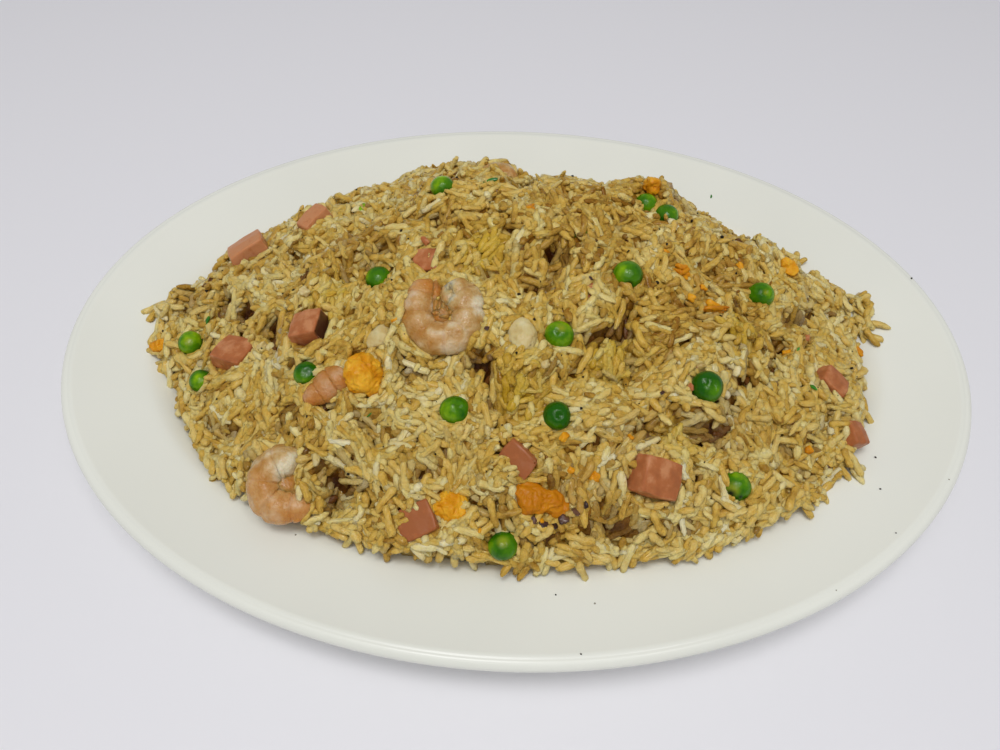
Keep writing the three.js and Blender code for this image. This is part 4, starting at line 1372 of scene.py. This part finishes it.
def bodyAlong(rows, segments):
    # a round body along rows of (right, up, half thickness, rosy), closed at both ends, with segment grooves
    sides = 40
    tangents = np.gradient(rows[:, :2], axis=0)
    tangents /= np.linalg.norm(tangents, axis=1)[:, None]
    count = len(rows)
    share = np.linspace(0, 1, count)
    beat = np.abs(((share * segments) % 1) - 0.5) * 2  # 1 at each border between segments
    groove = np.clip((beat - 0.72) / 0.28, 0, 1) ** 2
    cap = np.sqrt(np.clip(1 - np.clip(1 - share / 0.07, 0, 1) ** 2, 0.0, 1))
    cap *= np.sqrt(np.clip(1 - np.clip(1 - (1 - share) / 0.06, 0, 1) ** 2, 0.0, 1))
    vertices, marks, burns = [], [], []
    for k in range(count):
        x, y, half, rosy = rows[k, :4]
        out = Vector((tangents[k, 1], -tangents[k, 0]))
        for side in range(sides):
            a = 2 * math.pi * side / sides
            c, h = math.cos(a), math.sin(a)
            reach = half * mm * max(cap[k], 0.02) * (1 - 0.08 * groove[k] + 0.035 * (1 - beat[k]))
            ownX, ownY = x * mm + out.x * c * reach, y * mm + out.y * c * reach
            vertices.append(ownX * rightForDiner + ownY * curlUp + curlOut * (h * reach * 0.92))
            marks.append(min(1, rosy * (0.75 + 0.25 * abs(c)) + 0.15 * groove[k]))
            # the burn colour goes into one side of each segment groove as painted shade, and onto the tail's
            # tip
            burns.append(0.18 * groove[k] * max(0, -c) + max(0, rosy - 0.93) * 6 * (share[k] > 0.97))
    faces = []
    for k in range(count - 1):
        for side in range(sides):
            after = (side + 1) % sides
            a, b = k * sides, (k + 1) * sides
            faces.append((a + side, a + after, b + after, b + side))
    faces.append(tuple(range(sides))[::-1])
    faces.append(tuple((count - 1) * sides + k for k in range(sides)))
    return vertices, faces, marks, burns


def curlFilling(place, half, rosy):
    # the soft inner part of the curl, a lumpy pad
    points, faces = roundForm()
    bumps = 1 + 0.1 * lumpNoise(points * mm, 0.5 * mm, 660) + 0.09 * lumpNoise(points * mm, 0.16 * mm, 663)
    own = np.array(place) + points * np.array(half) * bumps[:, None]
    vertices = [(x * rightForDiner + y * curlUp + z * curlOut) * mm for x, y, z in own.tolist()]
    marks = np.clip(0.45 * rosy + 0.4 * lumpNoise(points * mm, 0.35 * mm, 661), 0, 1)
    burns = np.clip(0.5 * lumpNoise(points * mm, 0.5 * mm, 662), 0, 1) * (rosy > 0.5)
    return vertices, faces, marks, burns


def makeShrimps():
    # peeled and just cooked: firm milky flesh with a wet sheen, orange where the shell lay against it
    material = moistFood("cookedPeeledShrimp", shrimpLook)
    for nodeName, curl in curls.items():
        low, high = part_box(nodeName)
        middle = (low + high) / 2 + Vector(curl["middle"]) * mm
        rows = curveThrough(np.column_stack([curl["path"], curl["rosy"]]), 130)
        parts = [(*bodyAlong(rows, curl["segments"]), 0.0)]
        for place, half, rosy in curl["pads"]:
            parts.append((*curlFilling(place, half, rosy), 0.75 * rosy))
        vertices, faces, marks, burns, golden = [], [], [], [], []
        for places, sides, partMarks, partBurns, gold in parts:
            start = len(vertices)
            vertices += [middle + Vector(place) for place in places]
            faces += [[start + i for i in side] for side in sides]
            marks += list(partMarks)
            burns += list(partBurns)
            golden += [gold] * len(places)
        piece = newPiece(nodeName + "_food", vertices, faces)
        faceOutward(piece.data)
        pushOut(piece, [(5 * mm, 0.5 * mm, 0), (2.2 * mm, 0.28 * mm, 0), (1.0 * mm, 0.12 * mm, 0)], 610)
        points = vertexArray(piece.data)
        streaks = 0.08 * lumpNoise(points, 2.2 * mm, 630) + 0.1 * lumpNoise(points, 4 * mm, 631)
        # shrimp_3 is darkened all over with the burn colour: browning, and painted shade
        brownedAndShaded = np.array(burns) + curl.get("brownedAndShaded", 0) * (1 + 2 * streaks)
        dress(piece, material, streaks + golden, np.clip(marks + streaks, 0, 1), np.clip(brownedAndShaded, 0, 1))
        fit(piece, nodeName)
    # only the back of this one shows, with a rosy end
    piece = refine("shrimp_4", 3)
    pushOut(piece, [(4 * mm, 0.4 * mm, 0), (1.4 * mm, 0.15 * mm, 1)], 641)
    points = vertexArray(piece.data)
    patch = 0.12 + 0.25 * lumpNoise(points, 2.5 * mm, 651)
    patch += np.clip(-(points[:, 0] - points[:, 0].mean()) / (6 * mm) - 0.6, 0, 0.8)
    movePoints(piece, points - (0, 0, 1.6 * mm))
    dress(piece, material, 0.05, np.clip(patch, 0, 1))
    fit(piece, "shrimp_4")


makeShrimps()
report("shrimps made")

eggLook = {
    "light": "#EAB02E", "body": "#DD9612", "dark": "#C47A08", "mark": "#9E5406", "burn": "#6E3A08",
    "mottle": 4.17 * mm, "grain": 1.176 * mm, "rough": 0.7, "relief": 0.45 * mm, "shine": 0.25,
    "roughness": 0.45, "ior": 1.38, "soft": 0.3, "bleed": (1.0, 0.6, 0.15), "depth": 1.2 * mm, "wet": 0.08,
}
eggTones = {"egg_1": -0.12, "egg_2": 0.3, "egg_3": -0.14, "egg_6": 0.12}
shreddedEggs = ["egg_5", "egg_6"]
waistedEgg = {"node": "egg_2", "along": 1.5 * mm, "reach": 1.6 * mm, "drawnIn": 0.34}
whiteLook = {
    "light": "#DDD0A0", "body": "#D6C48C", "dark": "#C8AE70", "mark": "#C9A860", "burn": "#8A6A30",
    "mottle": 4.55 * mm, "grain": 1.67 * mm, "rough": 0.5, "relief": 0.3 * mm, "shine": 0.3,
    "roughness": 0.38, "ior": 1.38, "soft": 0.5, "bleed": (1.0, 0.8, 0.5), "depth": 1.4 * mm, "wet": 0.25,
}


def eggShreds(nodeName, seed):
    # a curd torn into thin curled strips that lie across one another
    rng = np.random.default_rng(seed)
    low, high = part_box(nodeName)
    middle, half = (low + high) / 2, (high - low) / 2
    points, sides = roundForm()
    vertices, faces = [], []
    for _ in range(5):
        turn = rng.uniform(0, math.pi)
        c, s = math.cos(turn), math.sin(turn)
        length, width = rng.uniform(0.5, 0.8), rng.uniform(0.16, 0.3)
        bend = rng.uniform(-0.35, 0.35)
        x = points[:, 0] * length
        y = points[:, 1] * width + bend * points[:, 0] ** 2
        z = points[:, 2] * rng.uniform(0.25, 0.4) + rng.uniform(-0.3, 0.5)
        own = np.stack([x * c - y * s, x * s + y * c, z], 1)
        own[:, :2] += rng.uniform(-0.35, 0.35, 2)
        start = len(vertices)
        vertices += (np.array(middle) + own * np.array(half)).tolist()
        faces += [[start + i for i in side] for side in sides]
    return newPiece(nodeName + "_food", vertices, faces)


def makeEgg():
    # egg stirred into the hot pan: torn curds, full of pores, browned in patches where they touched the
    # metal, with painted shade on the faces turned down
    yellow, white = moistFood("friedEggCurd", eggLook), moistFood("setEggWhite", whiteLook)
    for k, nodeName in enumerate(nodesOf("egg") + nodesOf("egg_white")):
        isWhite = nodeName.startswith("egg_white")
        if nodeName in shreddedEggs:
            piece = eggShreds(nodeName, 760 + k)
        else:
            piece = refine(nodeName, 3, bevel=0.5 * mm) if isWhite else refine(nodeName, 4)
        size = max((b - a) for a, b in zip(*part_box(nodeName)))
        lump = min(size * 0.4, 4.5 * mm)
        layers = [(lump, 0.15 * size * 0.5, 0), (2.6 * mm, 0.5 * mm, 1), (1.2 * mm, 0.26 * mm, 1)]
        if isWhite:
            layers = [(4 * mm, 0.7 * mm, 0), (1.5 * mm, 0.16 * mm, 1)]
        if nodeName == waistedEgg["node"]:
            points = vertexArray(piece.data)
            middle = points.mean(0)
            away = (points[:, 0] - middle[0] - waistedEgg["along"]) / waistedEgg["reach"]
            waist = 1 - waistedEgg["drawnIn"] * np.exp(-away ** 2)
            movePoints(piece, middle + (points - middle) * np.stack([np.ones(len(points)), waist, waist], 1))
        pushOut(piece, layers, 700 + k)
        points, normals = vertexArray(piece.data), normalArray(piece.data)
        hollow = -lumpNoise(points, 2.4 * mm, (700 + k) * 10 + 1) ** 2 * 2 + 0.4
        scorched = 0.6 * lumpNoise(points, 3.5 * mm, 720 + k)
        # browner in the pores and scorched patches, and darker on faces turned down: painted shade
        brown = np.clip(0.35 * hollow + scorched - 0.25 * normals[:, 2], 0, 0.9)
        tone = eggTones.get(nodeName, 0.05 * math.sin(k * 2.1))
        dress(piece, white if isWhite else yellow, tone, brown * (0.35 if isWhite else 1))
        fit(piece, nodeName)


makeEgg()
report("egg made")

# small bits on the heap and the platter: places along X and Y in mm, and sizes in mm
bits = {
    "eggCrumbs": [(2.4, 15.5, 3.0), (12.7, -55.6, 2.8), (85.6, -15.8, 2.6), (118, -2.9, 3.4),
                  (89.5, -46.2, 2.6), (71.5, 9.2, 2.8), (7.2, -74.9, 2.0), (15.2, -62.3, 2.2),
                  (51.7, -10.2, 3.4), (-36.6, -24.5, 1.8), (56, -6.5, 2.4), (44.5, 4.0, 2.6),
                  (-9.8, -78.2, 1.6), (31.6, -54.3, 1.8)],
    "whiteCrumbs": [(-65.9, -10.1, 3.4), (-79.7, -21.8, 3.0), (7.4, -36.6, 2.4), (53.8, -23, 2.6)],
    "scallion": [(-10.4, 33.6, 4.2), (89.2, -15.1, 2.8), (91.8, -28.3, 3.0), (-103.3, -5.1, 3.2),
                 (-42.9, -47.7, 1.8), (78.7, 77.3, 1.8)],
    "soyBits": [(5.2, -75.0, 2.2), (8.0, -75.8, 2.9), (10.8, -76.0, 2.6), (13.4, -74.2, 3.0),
                (16.4, -72.6, 2.8), (18.8, -70.8, 2.2), (20.5, -11.7, 1.6), (-9.7, -26.1, 1.5),
                (52, -43.8, 1.4), (40.6, -42.5, 1.4), (97, -49, 1.6), (-70.1, 7.5, 1.3)],
    "hamShreds": [(-29.9, 5.2, 3.2), (94, -8.8, 2.2), (49, -40.3, 2.0)],
    "platterSpecks": [(11.8, -90.9, 0.5), (17.7, -108.1, 0.7), (144.7, 30.1, 0.9), (110.3, -71.1, 0.7),
                      (113.6, -43.5, 0.8), (111.4, -55.4, 0.7)],
    "pepper": 230,  # specks strewn over the rice
}


def crumbMesh(name, seed, detail, rough, squash=(1, 1, 1)):
    # a rough ball about one across; the higher rough, the more jagged
    piece = ball(name, (0, 0, 0), 0.5 * np.array(squash), detail)
    points = vertexArray(piece.data)
    movePoints(piece, points * (1 + rough * lumpNoise(points, 0.35, seed))[:, None])
    return piece


def surfaceAt(x, y):
    # the highest of the grains, the platter and the toppings there
    z = max(float(between(topSurface, x, y)), float(between(toppingTop, x, y)))
    return max(z, float(plateTop(np.array(x), np.array(y))))


def scatterBits(name, spots, shapes, material, seed, sunk=0.3, flat=1.0):
    # sunk is how deep a bit lies in what is under it, as a share of its size
    rng = np.random.default_rng(seed)
    places, turns, sizes = [], [], []
    for x, y, size in spots:
        size *= mm
        z = surfaceAt(x * mm, y * mm) + size * (0.35 - sunk)
        places.append((x * mm, y * mm, z))
        turns.append((rng.uniform(-0.4, 0.4), rng.uniform(-0.4, 0.4), rng.uniform(0, 6.28)))
        sizes.append((size, size * rng.uniform(0.7, 1.0), size * rng.uniform(0.55, 0.85) * flat))
    forms = rng.integers(0, len(shapes.objects), len(places))
    addTo(scatterPiece(name, places, turns, sizes, forms, shapes, material))


pepperLook = dict(eggLook, light="#3A2A18", body="#241A10", dark="#120D08", mark="#5A3A1A", burn="#0A0705",
                  rough=0.5, soft=0.0, roughness=0.6, wet=0.1)
soyLook = dict(eggLook, light="#6E4A34", body="#4C3024", dark="#2E1C14", mark="#7A4420", burn="#140C08",
               rough=0.5, soft=0.1, roughness=0.35, wet=0.5)
scallionLook = dict(peaLook, light="#4F9A2A", body="#2C7A18", dark="#12500E", wet=0.5)


def pepperPlaces():
    # ground coarsely: many fine specks and a few large ones
    rng = np.random.default_rng(801)
    cells = np.argwhere(settled & ~shown)
    picked = cells[rng.choice(len(cells), bits["pepper"], replace=False)]
    sizes = np.clip(rng.exponential(0.3, len(picked)) + 0.35, 0, 1.3)
    return [(mapX[i, j] / mm, mapY[i, j] / mm, d) for (i, j), d in zip(picked, sizes)]


def makeBits():
    # what breaks off the egg and the ham in the pan, and what the rice was seasoned with
    crumbs = hiddenCollection("crumbShapes", [crumbMesh(f"crumb{k}", 810 + k, 3, 0.5) for k in range(4)])
    flecks = hiddenCollection("fleckShapes", [crumbMesh(f"fleck{k}", 820 + k, 1, 0.6) for k in range(4)])
    leaves = hiddenCollection("leafShapes", [crumbMesh(f"leaf{k}", 830 + k, 3, 0.4, (1.2, 0.42, 0.3))
                                             for k in range(3)])
    made = bpy.data.materials
    scatterBits("eggCrumbs", bits["eggCrumbs"], crumbs, made["friedEggCurd"], 840)
    scatterBits("whiteCrumbs", bits["whiteCrumbs"], crumbs, made["setEggWhite"], 841)
    scatterBits("hamShreds", bits["hamShreds"], crumbs, made["friedCuredHam"], 842)
    scallion = moistFood("friedScallion", scallionLook)
    scatterBits("scallion", bits["scallion"], leaves, scallion, 843)
    soy = moistFood("caramelisedSoy", soyLook)
    scatterBits("soyBits", bits["soyBits"], crumbs, soy, 844, sunk=0.36, flat=0.4)
    pepper = moistFood("groundBlackPepper", pepperLook)
    specks = pepperPlaces() + bits["platterSpecks"]
    scatterBits("pepperSpecks", specks, flecks, pepper, 845, sunk=0.15)


makeBits()
report("small bits made")

# the stage: a pale table top, a soft room with lamps overhead, and the camera
setting = {
    "floor": "#EEEDF1",
    "floorHalf": 3.0,
    "sky": "#F6F6F9",
    "skyStrength": 0.33,
    # name, place, size and power of each round lamp
    "lamps": [("overhead", (-0.05, -0.42, 1.12), 1.1, 5.0), ("ceilingPanel", (-0.1, -0.22, 1.22), 0.34, 3.3),
              ("sidePanel", (0.42, -0.3, 1.2), 0.2, 0.8)],
}


def makeFloor():
    # satin paint, which spreads the lamps' reflections out
    material = newMaterial("paintedTable", {"Base Color": linearColor(setting["floor"]), "Roughness": 0.6})[0]
    half = setting["floorHalf"]
    floor = newPiece("floor", [(-half, -half, 0), (half, -half, 0), (half, half, 0), (-half, half, 0)],
                     [(0, 1, 2, 3)], material, smooth=False)


def makeLight():
    world = bpy.data.worlds.new("softRoom")
    scene.world = world
    world.use_nodes = True
    world.node_tree.nodes.clear()
    glow = addNode(world.node_tree, "ShaderNodeBackground",
                   {"Color": linearColor(setting["sky"]), "Strength": setting["skyStrength"]})
    addNode(world.node_tree, "ShaderNodeOutputWorld", {"Surface": glow.outputs[0]})
    for name, place, size, power in setting["lamps"]:
        lamp = bpy.data.lights.new(name, "AREA")
        lamp.shape = "DISK"
        lamp.size = size
        lamp.energy = power
        stand = bpy.data.objects.new(name, lamp)
        scene.collection.objects.link(stand)
        stand.location = place
        stand.rotation_euler = (-Vector(place)).to_track_quat("-Z", "Y").to_euler()


view = {
    "place": (-5.5 * mm, -165.1 * mm, 223.4 * mm),
    "elevation": 53.85,  # degrees that the camera looks down
    "roll": 1.7,
    "lens": 27.04,  # focal length in mm on a sensor 36 mm wide
}


def makeCamera():
    camera = bpy.data.cameras.new("camera")
    camera.lens = view["lens"]
    camera.sensor_width = 36.0
    camera.clip_start = 0.01
    stand = bpy.data.objects.new("camera", camera)
    scene.collection.objects.link(stand)
    tilt = Matrix.Rotation(math.radians(90 - view["elevation"]), 4, "X")
    roll = Matrix.Rotation(math.radians(view["roll"]), 4, "Z")
    stand.matrix_world = Matrix.Translation(view["place"]) @ tilt @ roll
    scene.camera = stand


makeFloor()
makeLight()
makeCamera()
scene.view_settings.view_transform = "Standard"
scene.view_settings.look = "None"
report("stage made")
